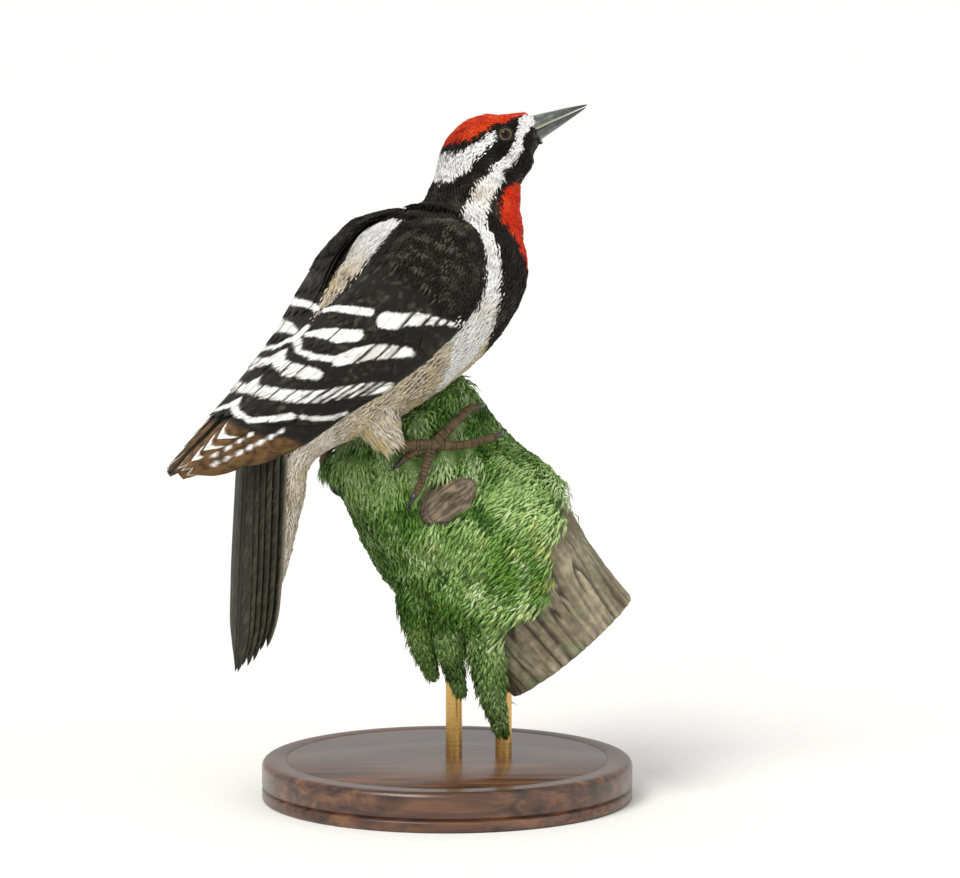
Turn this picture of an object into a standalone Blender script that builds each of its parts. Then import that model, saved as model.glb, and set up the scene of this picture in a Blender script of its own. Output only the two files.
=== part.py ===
"""A male yellow-bellied sapsucker on a mossy branch stub, life size, held up by a display stand.

Lengths in this file are millimetres until mesh_object() turns them into metres. +Z is up, the
floor is z = 0 under the middle of the stand's base, the bird's head points to +X and the side
of the bird that is seen best faces -Y. The body is one smooth loft along a spine from the
undertail coverts to the bill, parted into nodes with thin gaps.
"""

import math

import bmesh
import bpy
import numpy as np
from mathutils import Vector

MM = 0.001
GAP = 0.3

# The trunk's own axes: forward along the trunk, dorsal (up out of its back), and to its right.
HEADING = math.radians(35.0)
PITCH = math.radians(44.3)
TRUNK_CENTRE = np.array((-9.6, -8.0, 149.4))

# Spine from the undertail coverts to the bill: centre, heading in degrees, and the radii
# towards the back, the belly and the side.
SPINE = (
    ("coverts_tip", (-58.0, -41.5, 62.0), 35, 0.8, 1.5, 3.0),
    ("coverts_end", (-56.0, -40.2, 71.0), 35, 5.0, 6.5, 8.5),
    ("coverts_low", (-54.5, -39.1, 80.0), 35, 6.4, 8.3, 10.0),
    ("coverts", (-53.0, -38.2, 90.0), 35, 7.4, 9.3, 11.0),
    ("vent", (-51.5, -37.2, 100.0), 35, 8.4, 10.0, 11.8),
    ("tail_base", (-49.2, -35.8, 109.5), 35, 9.0, 10.2, 12.3),
    ("rump", (-43.6, -31.9, 118.0), 35, 12.0, 12.4, 15.0),
    ("loins", (-30.6, -22.7, 131.3), 35, 18.0, 20.0, 21.0),
    ("breast", (-9.6, -8.0, 149.4), 35, 23.0, 24.5, 25.0),
    ("shoulders", (2.7, 0.6, 163.8), 35, 21.0, 23.5, 24.0),
    ("neck_base", (7.6, 4.2, 174.6), 32, 16.2, 15.4, 18.0),
    ("nape", (9.2, 5.6, 184.2), 20, 13.8, 12.3, 14.6),
    ("ear", (12.0, 6.0, 192.7), 8, 13.6, 13.2, 13.0),
    ("eye", (19.2, 5.5, 197.6), 0, 10.3, 10.0, 10.5),
    ("face", (22.9, 5.3, 200.2), 0, 6.4, 6.8, 7.2),
    ("bill_base", (26.2, 5.2, 201.3), 0, 4.6, 4.4, 4.6),
)
STATION = {row[0]: index for index, row in enumerate(SPINE)}
TRUNK_END = STATION["shoulders"] + 0.6
NECK_END = STATION["nape"] + 0.5
SIDES = 18
STATION_STEPS = 4

EYE_RADIUS = 2.1
EYE_PLACE = (17.3, 8.7, 200.7)  # x, distance out from the head's middle plane, z
HEAD_MIDDLE_Y = 5.4

BILL_TIP = (42.0, 5.2, 208.8)
BILL_UPPER = (4.2, 4.3)  # half width and height at the root
BILL_LOWER = (3.8, 3.4)

# Right wing, in trunk axes (forward, dorsal, right): its edge along the back and its edge
# along the flank, from the shoulder to the wing tip.
WING_BACK = (
    (23.2, 17.4, 8.0), (15.1, 22.9, 9.0), (9.0, 26.1, 9.0), (-3.4, 26.5, 9.0),
    (-17.6, 24.7, 6.0), (-28.5, 23.7, 2.5), (-43.3, 24.8, 1.4), (-59.9, 26.2, 1.3),
    (-72.6, 27.8, 1.2), (-90.0, 29.3, 1.0),
)
WING_FLANK = (
    (22.6, 12.5, 20.6), (17.6, 4.4, 23.0), (8.8, -1.1, 25.0), (-3.7, -1.3, 27.0),
    (-19.9, 0.4, 26.0), (-34.8, 3.1, 23.0), (-49.8, 7.0, 18.0), (-62.9, 11.5, 13.0),
    (-76.0, 17.2, 8.6), (-91.0, 26.0, 4.0),
)
WING_SQUARENESS = 0.85
WING_THICK = (3.6, 1.5)  # at the shoulder and at the tip
WING_ROWS, WING_COLUMNS = 18, 8

# Tail: a low roof of feathers whose ridge runs down the middle.
TAIL_ROOT = (-58.6, -42.0, 110.0)
TAIL_TIP = (-61.6, -44.4, 45.4)
TAIL_HALF_WIDTH = (13.6, 12.6, 10.0)  # at the root, at two thirds and at the end
TAIL_DROP = 5.0
TAIL_THICK = 1.8
TAIL_GRADE = 10.0  # how much shorter the outer feathers are
TAIL_NOTCH = 2.2
TAIL_ROWS, TAIL_COLUMNS = 6, 25

# Perch: a curved stub in the plane y = PERCH_Y; (x, z, radius over the moss).
PERCH_Y = 2.0
PERCH_AXIS = ((-15.5, 112.5, 26.0), (-1.0, 91.0, 28.0), (16.5, 72.0, 29.0), (38.0, 46.0, 26.5))
PERCH_SIDES, PERCH_ROWS = 20, 9
MOSS_DEPTH = 3.6
MOSS_CAP = 7.0
BARK_CAP = 4.5
MOSS_HEM = 2.35  # the hem's mean place along PERCH_AXIS
KNOT = (0.98, 6.0)  # place along the axis, degrees round from the front
KNOT_SIZE = (9.6, 6.6, 5.0)
# place, length and radius
MOSS_BEARDS = (((1.55, -66.0), 27.0, 7.0), ((2.0, -58.0), 25.0, 5.5), ((2.45, -48.0), 29.0, 6.5))

TOE_RADIUS = (1.6, 1.15)  # at the sole and at the claw
CLAW_LENGTH = 4.6

BASE_RADIUS, BASE_HEIGHT = 56.0, 12.0
ROD_RADIUS = 2.5
RODS = ((2.0, 52.0), (17.0, 40.0))  # x and top
ROD_SOCKET = 8.0


# ---------------------------------------------------------------- frames and curves


def trunk_axes():
    """Forward, dorsal and right as unit vectors."""
    ch, sh, cp, sp = math.cos(HEADING), math.sin(HEADING), math.cos(PITCH), math.sin(PITCH)
    return np.array(((cp * ch, cp * sh, sp), (-sp * ch, -sp * sh, cp), (sh, -ch, 0.0)))


AXES = trunk_axes()


def from_trunk(point):
    """World place of a point given in trunk axes."""
    return TRUNK_CENTRE + np.asarray(point, float) @ AXES


def along(rows, u):
    """Smooth curve through rows (Catmull-Rom), at the place u counted in rows."""
    rows = np.asarray(rows, float)
    u = min(max(u, 0.0), len(rows) - 1.0)
    i = min(int(u), len(rows) - 2)
    f = u - i
    p1, p2 = rows[i], rows[i + 1]
    p0 = rows[i - 1] if i else 2 * p1 - p2
    p3 = rows[i + 2] if i + 2 < len(rows) else 2 * p2 - p1
    return 0.5 * (
        2 * p1 + (p2 - p0) * f + (2 * p0 - 5 * p1 + 4 * p2 - p3) * f**2
        + (3 * p1 - p0 - 3 * p2 + p3) * f**3
    )


def unit(vector):
    return vector / np.linalg.norm(vector)


SPINE_ROWS = [(*row[1], row[2], row[3], row[4], row[5]) for row in SPINE]


def spine_frame(u):
    """Centre, forward, right, dorsal and the three radii at the place u along the spine."""
    row = along(SPINE_ROWS, u)
    step = 0.05
    forward = unit(along(SPINE_ROWS, u + step)[:3] - along(SPINE_ROWS, u - step)[:3])
    heading = math.radians(row[3])
    right = np.array((math.sin(heading), -math.cos(heading), 0.0))
    right = unit(right - forward * (right @ forward))
    return row[:3], forward, right, np.cross(right, forward), row[4:]


def body_ring(u, grow=0.0):
    """The body's cross-section at u, widened by grow."""
    centre, _, right, dorsal, (back, belly, side) = spine_frame(u)
    ring = []
    for k in range(SIDES):
        angle = 2 * math.pi * k / SIDES
        up = (back if math.cos(angle) > 0 else belly) + grow
        ring.append(centre + dorsal * up * math.cos(angle) + right * (side + grow) * math.sin(angle))
    return ring


# ---------------------------------------------------------------- meshes


def clear_scene():
    for obj in list(bpy.data.objects):
        bpy.data.objects.remove(obj, do_unlink=True)


def material(name, colour, roughness, metallic=0.0):
    made = bpy.data.materials.new(name)
    made.use_nodes = True
    made.diffuse_color = (*colour, 1.0)
    shader = made.node_tree.nodes["Principled BSDF"]
    shader.inputs["Base Color"].default_value = (*colour, 1.0)
    shader.inputs["Roughness"].default_value = roughness
    shader.inputs["Metallic"].default_value = metallic
    return made


def mesh_object(name, points, faces, finish=None, smooth=True):
    """A closed mesh from points in millimetres, with its faces turned outwards."""
    work = bmesh.new()
    verts = [work.verts.new(Vector([float(c) for c in p]) * MM) for p in points]
    for face in faces:
        work.faces.new([verts[i] for i in face])
    bmesh.ops.recalc_face_normals(work, faces=work.faces)
    if work.calc_volume(signed=True) < 0:
        bmesh.ops.reverse_faces(work, faces=work.faces)
    mesh = bpy.data.meshes.new(name)
    work.to_mesh(mesh)
    work.free()
    obj = bpy.data.objects.new(name, mesh)
    bpy.context.scene.collection.objects.link(obj)
    if finish:
        mesh.materials.append(finish)
    if smooth:
        mesh.shade_smooth()
        mesh.set_sharp_from_angle(angle=math.radians(50))
    return obj


def loft(name, rings, finish=None, start=None, end=None):
    """Skins rings of equal count; each end closes on its middle, or on the point given."""
    count = len(rings[0])
    points = [p for ring in rings for p in ring]
    points.append(np.mean(rings[0], axis=0) if start is None else start)
    points.append(np.mean(rings[-1], axis=0) if end is None else end)
    first, last = len(points) - 2, len(points) - 1
    faces = []
    for k in range(count):
        n = (k + 1) % count
        faces.append((first, n, k))
        tail = (len(rings) - 1) * count
        faces.append((last, tail + k, tail + n))
        for r in range(len(rings) - 1):
            a, b = r * count, (r + 1) * count
            faces += [(a + k, a + n, b + n), (a + k, b + n, b + k)]
    return mesh_object(name, points, faces, finish)


def slab(name, upper, lower, finish=None):
    """A closed sheet between two grids of points of the same rows and columns."""
    rows, columns = len(upper), len(upper[0])
    points = [p for row in upper for p in row] + [p for row in lower for p in row]
    under = rows * columns
    faces = []
    for r in range(rows - 1):
        for c in range(columns - 1):
            a = r * columns + c
            for corners in ((a, a + 1, a + columns + 1), (a, a + columns + 1, a + columns)):
                faces.append(corners)
                faces.append(tuple(under + i for i in reversed(corners)))
    rim = [c for c in range(columns)] + [r * columns + columns - 1 for r in range(1, rows)]
    rim += [(rows - 1) * columns + c for c in range(columns - 2, -1, -1)]
    rim += [r * columns for r in range(rows - 2, 0, -1)]
    for k, a in enumerate(rim):
        b = rim[(k + 1) % len(rim)]
        faces.append((b, a, under + a, under + b))
    return mesh_object(name, points, faces, finish)


def tube(name, path, radii, finish=None, sides=7):
    """A round rod along path whose ends close on short cones."""
    path = [np.asarray(p, float) for p in path]
    rings = []
    for i, centre in enumerate(path):
        forward = unit(path[min(i + 1, len(path) - 1)] - path[max(i - 1, 0)])
        guide = np.array((0.0, 1.0, 0.0)) if abs(forward[1]) < 0.9 else np.array((1.0, 0.0, 0.0))
        across = unit(np.cross(forward, guide))
        over = np.cross(forward, across)
        rings.append([
            centre + radii[i] * (across * math.cos(a) + over * math.sin(a))
            for a in (2 * math.pi * (k + 0.5) / sides for k in range(sides))
        ])
    start = path[0] - unit(path[1] - path[0]) * radii[0] * 0.6
    end = path[-1] + unit(path[-1] - path[-2]) * radii[-1] * 0.6
    return loft(name, rings, finish, start, end)


def ball(name, centre, radii, turn=None, finish=None, segments=14, rings=8):
    """An ellipsoid; turn holds its three axes as rows."""
    turn = np.eye(3) if turn is None else np.asarray(turn)
    made = []
    for r in range(1, rings):
        polar = math.pi * r / rings
        made.append([
            centre + np.array((
                radii[0] * math.sin(polar) * math.cos(a),
                radii[1] * math.sin(polar) * math.sin(a),
                radii[2] * math.cos(polar),
            )) @ turn
            for a in (2 * math.pi * k / segments for k in range(segments))
        ])
    pole = np.array((0.0, 0.0, radii[2])) @ turn
    return loft(name, made, finish, centre + pole, centre - pole)


def boolean(obj, operation, other):
    """Adds an exact Boolean to obj and turns other into a hidden helper."""
    other.hide_render = True
    other.display_type = "WIRE"
    step = obj.modifiers.new(f"{operation.lower()}_{other.name}", "BOOLEAN")
    step.operation = operation
    step.solver = "EXACT"
    step.object = other


# ---------------------------------------------------------------- body


def body_span(name, first, last, finish, grow=0.0):
    """The part of the body between two places on the spine."""
    steps = max(2, round((last - first) * STATION_STEPS))
    return loft(name, [body_ring(first + (last - first) * i / steps, grow) for i in range(steps + 1)],
                finish)


def spine_gap(u):
    """How far GAP reaches at u, counted in stations."""
    step = 0.05
    length = np.linalg.norm(along(SPINE_ROWS, u + step)[:3] - along(SPINE_ROWS, u - step)[:3])
    return 2 * step * 1.25 * GAP / length


def make_body(feather):
    tail_base = STATION["tail_base"]
    trunk = body_span("trunk", tail_base + spine_gap(tail_base), TRUNK_END, feather)
    for side in (1, -1):
        name = f"wing_room_{'right' if side > 0 else 'left'}"
        boolean(trunk, "DIFFERENCE", wing_slab(name, side, room=True))
    body_span("neck", TRUNK_END + spine_gap(TRUNK_END), NECK_END, feather)
    head = body_span("head", NECK_END + spine_gap(NECK_END), len(SPINE) - 1, feather)
    for side in (1, -1):
        boolean(head, "DIFFERENCE", ball(f"eye_room_{side}", eye_place(side), [EYE_RADIUS + GAP] * 3))
    return trunk


def eye_place(side):
    x, out, z = EYE_PLACE
    return np.array((x, HEAD_MIDDLE_Y - side * out, z))


def make_bill(horn):
    """Two tapering half cones that meet along the gape and stand square on the face."""
    face, ahead, side, lift, _ = spine_frame(len(SPINE) - 1)
    root, tip = face + ahead * 1.5 * GAP, np.array(BILL_TIP)
    rise = np.cross(side, unit(tip - root))
    steps, sides = 8, 8
    for name, (half_width, height), sign in (
        ("bill_upper", BILL_UPPER, 1), ("bill_lower", BILL_LOWER, -1)
    ):
        rings = []
        for i in range(steps + 1):
            f = i / steps
            thin = (1 - f) ** 0.85 * 0.94 + 0.06
            reach = root + (tip - root) * (f if sign > 0 else 0.97 * f)
            up = rise if i else lift
            rings.append([
                reach + side * half_width * thin * math.cos(a)
                + up * sign * (GAP / 2 + height * thin * math.sin(a))
                for a in (math.pi * k / sides for k in range(sides + 1))
            ])
        loft(name, rings, horn)


# ---------------------------------------------------------------- wings and tail


def wing_place(u, v, side):
    """A point of the wing's outer face: u runs shoulder to tip, v from the back to the flank."""
    back, flank = along(WING_BACK, u), along(WING_FLANK, u)
    over = back + np.array((0.0, 0.0, WING_SQUARENESS * (flank[2] - back[2])))
    down = flank + np.array((0.0, WING_SQUARENESS * (back[1] - flank[1]), 0.0))
    w = 1 - v
    point = w**3 * back + 3 * w * w * v * over + 3 * w * v * v * down + v**3 * flank
    return from_trunk(point * (1.0, 1.0, side))


def wing_slab(name, side, finish=None, room=False):
    """One folded wing, or the room that the trunk leaves for it."""
    last = len(WING_BACK) - 1
    outer, inner = [], []
    for r in range(WING_ROWS + 1):
        u = last * r / WING_ROWS
        thick = WING_THICK[0] + (WING_THICK[1] - WING_THICK[0]) * r / WING_ROWS
        outer_row, inner_row = [], []
        for c in range(WING_COLUMNS + 1):
            v = c / WING_COLUMNS
            here = wing_place(u, v, side)
            du = wing_place(min(u + 0.1, last), v, side) - wing_place(max(u - 0.1, 0), v, side)
            dv = wing_place(u, min(v + 0.02, 1), side) - wing_place(u, max(v - 0.02, 0), side)
            normal = unit(np.cross(du, dv)) * side
            edge = min(1.0, 3.2 * min(v, 1 - v, 1.4 * r / WING_ROWS + 0.02, 1.05 - r / WING_ROWS) + 0.34)
            if room:
                here = here + unit(dv) * GAP * 2.2 * ((c == WING_COLUMNS) - (c == 0))
                here = here + unit(du) * GAP * 2.2 * ((r == WING_ROWS) - (r == 0))
                outer_row.append(here + normal * 9.0)
                inner_row.append(here - normal * (thick * edge + 1.2 * GAP))
            else:
                outer_row.append(here)
                inner_row.append(here - normal * thick * edge)
        outer.append(outer_row)
        inner.append(inner_row)
    return slab(name, outer, inner, finish)


def make_tail(feather):
    """Undertail coverts joined to the roof of tail feathers, whose ends are notched."""
    tail = body_span("tail", 0.0, STATION["tail_base"], feather)
    root, tip = np.array(TAIL_ROOT), np.array(TAIL_TIP)
    down = unit(tip - root)
    right = AXES[2]
    out = np.cross(down, right)
    length = np.linalg.norm(tip - root)
    upper, lower = [], []
    for r in range(TAIL_ROWS + 1):
        f = r / TAIL_ROWS
        half = along([[w] for w in TAIL_HALF_WIDTH], 2 * f)[0]
        upper_row, lower_row = [], []
        for c in range(TAIL_COLUMNS):
            across = 2 * c / (TAIL_COLUMNS - 1) - 1
            short = TAIL_GRADE * abs(across) ** 2.2 + TAIL_NOTCH * math.cos(math.pi * 3 * across) ** 2
            reach = f * (length - short)
            thick = TAIL_THICK * (1 - 0.45 * abs(across) ** 3) * (1 - 0.35 * f)
            place = root + down * reach + right * half * across - out * TAIL_DROP * abs(across) ** 1.6
            upper_row.append(place)
            lower_row.append(place - out * thick)
        upper.append(upper_row)
        lower.append(lower_row)
    boolean(tail, "UNION", slab("tail_feathers", upper, lower))
    end = spine_frame(STATION["tail_base"])
    room = loft("tail_end_room", [
        [end[0] + end[1] * lift + end[2] * 30 * math.cos(a) + end[3] * 30 * math.sin(a)
         for a in (2 * math.pi * k / 8 for k in range(8))]
        for lift in (0.0, 25.0)
    ])
    boolean(tail, "DIFFERENCE", room)


# ---------------------------------------------------------------- perch


def perch_frame(t):
    """Axis point, downward direction, side direction and moss radius at t along PERCH_AXIS."""
    x, z, radius = along(PERCH_AXIS, t)
    ahead, behind = along(PERCH_AXIS, t + 0.02), along(PERCH_AXIS, t - 0.02)
    down = unit(np.array((ahead[0] - behind[0], 0.0, ahead[1] - behind[1])))
    return np.array((x, PERCH_Y, z)), down, np.array((-down[2], 0.0, down[0])), radius


def ripple(t, angle):
    """Slow swellings of the wood and moss, as a share of the radius."""
    return 0.03 * math.sin(2 * angle + 3.1 * t) + 0.018 * math.sin(5 * angle - 4.0 * t + 1.0)


def perch_point(t, degrees, lift=0.0, cap=None):
    """A point over the moss. Degrees go round from the front (-Y) towards the upper right; from
    t = 0 to -1 the place climbs the domed end, whose height is cap."""
    centre, down, side, radius = perch_frame(max(t, 0.0))
    angle = math.radians(degrees)
    climb = math.pi / 2 * min(max(-t, 0.0), 1.0)
    reach = (radius * (1 + ripple(t, angle)) + lift) * math.cos(climb)
    rise = (MOSS_CAP + lift if cap is None else cap) * math.sin(climb)
    outward = math.cos(angle) * np.array((0.0, -1.0, 0.0)) + math.sin(angle) * side
    return centre + reach * outward - rise * down


def perch_rings(lift, cap, end, hem=None):
    """Rings down the stub from its domed top, and the top; lift moves the surface in or out."""
    rings = []
    for r in range(-3, PERCH_ROWS + 1):
        ring = []
        for s in range(PERCH_SIDES):
            degrees = 360 * s / PERCH_SIDES
            last = end if hem is None else end + hem(math.radians(degrees))
            ring.append(perch_point(r / 4 if r < 0 else last * r / PERCH_ROWS, degrees, lift, cap))
        rings.append(ring)
    return rings, perch_point(-1.0, 0.0, lift, cap)


def moss_hem(angle):
    return 0.11 * math.sin(3 * angle + 0.6) + 0.08 * math.sin(7 * angle) - 0.42 * math.sin(angle)


def make_perch(bark, moss, keep_clear):
    """The bare stub, and the sock of moss that hangs over it."""
    end = len(PERCH_AXIS) - 1
    rings, top = perch_rings(-MOSS_DEPTH, BARK_CAP, end)
    branch = loft("perch_branch", rings, bark, top)
    centre, down, side, _ = perch_frame(KNOT[0])
    knot_middle = perch_point(*KNOT, lift=-4.2)
    knot_axes = (side, down, np.array((0.0, -1.0, 0.0)))
    boolean(branch, "UNION", ball("knot", knot_middle, KNOT_SIZE, knot_axes))

    rings, top = perch_rings(0.0, MOSS_CAP, MOSS_HEM, hem=moss_hem)
    sock = loft("perch_moss", rings, moss, top)
    for i, ((t, degrees), length, radius) in enumerate(MOSS_BEARDS):
        hung_from = perch_point(t, degrees, -radius * 0.55)
        path = [hung_from + np.array((0.2 * f, 0.0, -f)) * length for f in (-0.25, 0.0, 0.35, 0.7, 1.0)]
        radii = [radius * w for w in (0.7, 1.0, 0.75, 0.45, 0.16)]
        boolean(sock, "UNION", tube(f"beard_{i}", path, radii))
    rings, top = perch_rings(GAP - MOSS_DEPTH, BARK_CAP + GAP, end)
    wood_room = loft("wood_room", rings, None, top)
    boolean(sock, "DIFFERENCE", wood_room)
    grown = [s + 2 * GAP for s in KNOT_SIZE]
    boolean(sock, "DIFFERENCE", ball("knot_room", knot_middle, grown, knot_axes))
    for helper in keep_clear:
        boolean(sock, "DIFFERENCE", helper)
    return branch, sock


# ---------------------------------------------------------------- legs

# Thigh and ankle are in trunk axes; the sole and the toes are places on the moss, as
# perch_point takes them. The lift carries the left toes over the rim of the domed end.
LEGS = {
    "right": {
        "thigh": ((-30.0, 0.0, 9.0), (-36.6, -7.6, 11.6), (-38.9, -12.2, 13.6)),
        "ankle": (-38.4, -16.6, 14.4),
        "lift": 0.0,
        "sole": (0.30, 16.5),
        "toes": {
            "front_outer": ((0.24, 38.0), (0.22, 52.0), (0.25, 60.0)),
            "front_inner": ((0.50, 32.0), (0.62, 48.0), (0.68, 60.0)),
            "back_outer": ((0.47, 6.0), (0.60, -1.5), (0.66, -7.0)),
            "hallux": ((0.27, 9.0), (0.25, 3.0), (0.26, -2.0)),
        },
    },
    "left": {
        "thigh": ((-28.0, 0.0, -9.0), (-33.0, -5.0, -11.5), (-35.0, -9.5, -12.5)),
        "ankle": (-35.5, -13.5, -13.5),
        "lift": 0.8,
        "sole": (-0.45, -122.0),
        "toes": {
            "front_outer": ((-0.44, -142.0), (-0.40, -162.0), (-0.36, -176.0)),
            "front_inner": ((-0.60, -126.0), (-0.72, -150.0), (-0.74, -174.0)),
            "back_outer": ((-0.18, -118.0), (0.06, -117.0), (0.18, -116.0)),
            "hallux": ((-0.26, -133.0), (-0.08, -142.0), (0.05, -146.0)),
        },
    },
}
THIGH_RADII = (8.0, 6.2, 3.6)
TARSUS_RADIUS = 1.8


def make_leg(name, leg, feather, scale, horn):
    """Feathered thigh, scaled foot and four claws."""
    count = 6
    thigh_path = [along([from_trunk(p) for p in leg["thigh"]], 2 * i / count) for i in range(count + 1)]
    radii = [along([[r] for r in THIGH_RADII], 2 * i / count)[0] for i in range(count + 1)]
    thigh = tube(f"thigh_{name}", thigh_path, radii, feather, sides=12)
    trunk_room = body_span(f"trunk_room_{name}", STATION["tail_base"], TRUNK_END, None, GAP)
    boolean(thigh, "DIFFERENCE", trunk_room)

    lift = TOE_RADIUS[0] + GAP + leg["lift"]
    ankle, sole = from_trunk(leg["ankle"]), perch_point(*leg["sole"], lift)
    tarsus = [0.6 * thigh_path[-1] + 0.4 * ankle, ankle, 0.5 * (ankle + sole), sole]
    foot = tube(f"foot_{name}", tarsus, [TARSUS_RADIUS] * len(tarsus), scale)
    count = 5
    widths = [TOE_RADIUS[0] + (TOE_RADIUS[1] - TOE_RADIUS[0]) * i / count for i in range(count + 1)]
    for toe, places in leg["toes"].items():
        points = [sole] + [perch_point(*place, lift) for place in places]
        path = [along(points, (len(points) - 1) * i / count) for i in range(count + 1)]
        boolean(foot, "UNION", tube(f"toe_{name}_{toe}", path, widths))
        make_claw(f"claw_{name}_{toe}", path, places[-1], horn)
    thigh_room = tube(f"thigh_room_{name}", thigh_path, [r + 1.2 * GAP for r in radii], sides=12)
    boolean(foot, "DIFFERENCE", thigh_room)


def make_claw(name, path, place, horn):
    """A hooked claw that leaves the toe's end and bends down to the moss."""
    forward = unit(path[-1] - path[-2])
    outward = unit(perch_point(*place, 1.0) - perch_point(*place, 0.0))
    start = path[-1] + forward * (0.6 * TOE_RADIUS[1] + GAP + 0.5)
    steps = 4
    points = [
        start + forward * CLAW_LENGTH * f + outward * (0.9 * math.sin(math.pi * f) - 1.5 * f * f)
        for f in (i / steps for i in range(steps + 1))
    ]
    tube(name, points, [0.95 * (1 - i / steps) ** 0.8 + 0.24 for i in range(steps + 1)], horn)


# ---------------------------------------------------------------- stand


def make_stand(wood, metal, perch):
    """A round base with an eased rim, and two rods up through the moss into the branch."""
    ease = 2.0
    profile = [(BASE_RADIUS - 0.6, 0.0), (BASE_RADIUS, 0.6), (BASE_RADIUS, BASE_HEIGHT - ease)]
    profile += [
        (BASE_RADIUS - ease * (1 - math.cos(a)), BASE_HEIGHT - ease * (1 - math.sin(a)))
        for a in (math.pi / 8 * k for k in range(1, 5))
    ]
    rings = [
        [np.array((r * math.cos(a), r * math.sin(a), z)) for a in (2 * math.pi * k / 36 for k in range(36))]
        for r, z in profile
    ]
    base = loft("stand_base", rings, wood)
    for i, (x, top) in enumerate(RODS, start=1):
        foot = BASE_HEIGHT - ROD_SOCKET
        rod_ends = (np.array((x, PERCH_Y, foot + GAP)), np.array((x, PERCH_Y, top - GAP)))
        post(f"stand_rod_{i}", rod_ends, ROD_RADIUS, metal)
        room_low = (np.array((x, PERCH_Y, foot)), np.array((x, PERCH_Y, BASE_HEIGHT + 5)))
        boolean(base, "DIFFERENCE", post(f"base_hole_{i}", room_low, ROD_RADIUS + GAP))
        room_high = (np.array((x, PERCH_Y, 5.0)), np.array((x, PERCH_Y, top)))
        hole = post(f"perch_hole_{i}", room_high, ROD_RADIUS + GAP)
        for piece in perch:
            boolean(piece, "DIFFERENCE", hole)


def post(name, ends, radius, finish=None, sides=16):
    rings = [
        [end + radius * np.array((math.cos(a), math.sin(a), 0.0))
         for a in (2 * math.pi * k / sides for k in range(sides))]
        for end in ends
    ]
    return loft(name, rings, finish)


def main():
    clear_scene()
    black = material("black_feather", (0.03, 0.03, 0.03), 0.7)
    buff = material("buff_feather", (0.60, 0.52, 0.40), 0.75)
    red = material("red_feather", (0.72, 0.05, 0.02), 0.7)
    wing = material("wing_feather", (0.06, 0.055, 0.05), 0.6)
    horn = material("bill_horn", (0.10, 0.12, 0.12), 0.35)
    glass = material("eye", (0.05, 0.02, 0.01), 0.08)
    scale = material("foot_scale", (0.10, 0.06, 0.04), 0.55)
    bark = material("bark", (0.30, 0.24, 0.19), 0.9)
    moss = material("moss", (0.08, 0.20, 0.03), 0.95)
    wood = material("base_wood", (0.10, 0.05, 0.03), 0.4)
    metal = material("rod_brass", (0.70, 0.52, 0.25), 0.3, 1.0)

    make_body(buff)
    bpy.data.objects["head"].data.materials[0] = red
    bpy.data.objects["neck"].data.materials[0] = black
    make_bill(horn)
    for side, name in ((1, "right"), (-1, "left")):
        ball(f"eye_{name}", eye_place(side), [EYE_RADIUS] * 3, finish=glass)
        wing_slab(f"wing_{name}", side, wing)
        make_leg(name, LEGS[name], buff, scale, horn)
    make_tail(black)
    belly_room = body_span("belly_room", STATION["vent"], TRUNK_END, None, 2 * GAP)
    perch = make_perch(bark, moss, [belly_room])
    make_stand(wood, metal, perch)


main()
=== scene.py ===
"""Looks for the male yellow-bellied sapsucker on its mossy perch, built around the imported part.

Lengths are millimetres until Piece.build() turns them into metres. The curves of the body, wing,
tail, perch and legs are the ones the CAD part has. Every feather, tuft and blade is a closed tube
of rings, and the markings are functions of a place on the body or the wing, which skin and coat
share.
"""

import math

import bpy
import numpy as np
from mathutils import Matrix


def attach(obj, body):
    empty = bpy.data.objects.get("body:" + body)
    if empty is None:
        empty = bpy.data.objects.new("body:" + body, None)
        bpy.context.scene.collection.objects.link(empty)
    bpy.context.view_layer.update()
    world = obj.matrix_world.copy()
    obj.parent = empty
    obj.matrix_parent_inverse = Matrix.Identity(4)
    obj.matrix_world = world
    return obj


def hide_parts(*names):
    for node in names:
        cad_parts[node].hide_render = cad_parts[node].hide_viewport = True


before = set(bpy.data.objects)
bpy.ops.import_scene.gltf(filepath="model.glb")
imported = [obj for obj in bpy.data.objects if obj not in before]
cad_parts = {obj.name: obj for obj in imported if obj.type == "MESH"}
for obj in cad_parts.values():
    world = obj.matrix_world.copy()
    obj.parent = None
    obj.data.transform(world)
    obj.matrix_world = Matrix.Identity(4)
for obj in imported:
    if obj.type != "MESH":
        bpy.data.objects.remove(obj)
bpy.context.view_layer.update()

MM = 0.001
rng = np.random.default_rng(7)

# ---------------------------------------------------------------- the part's own curves

HEADING, PITCH = math.radians(35.0), math.radians(44.3)
TRUNK_CENTRE = np.array((-9.6, -8.0, 149.4))
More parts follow.
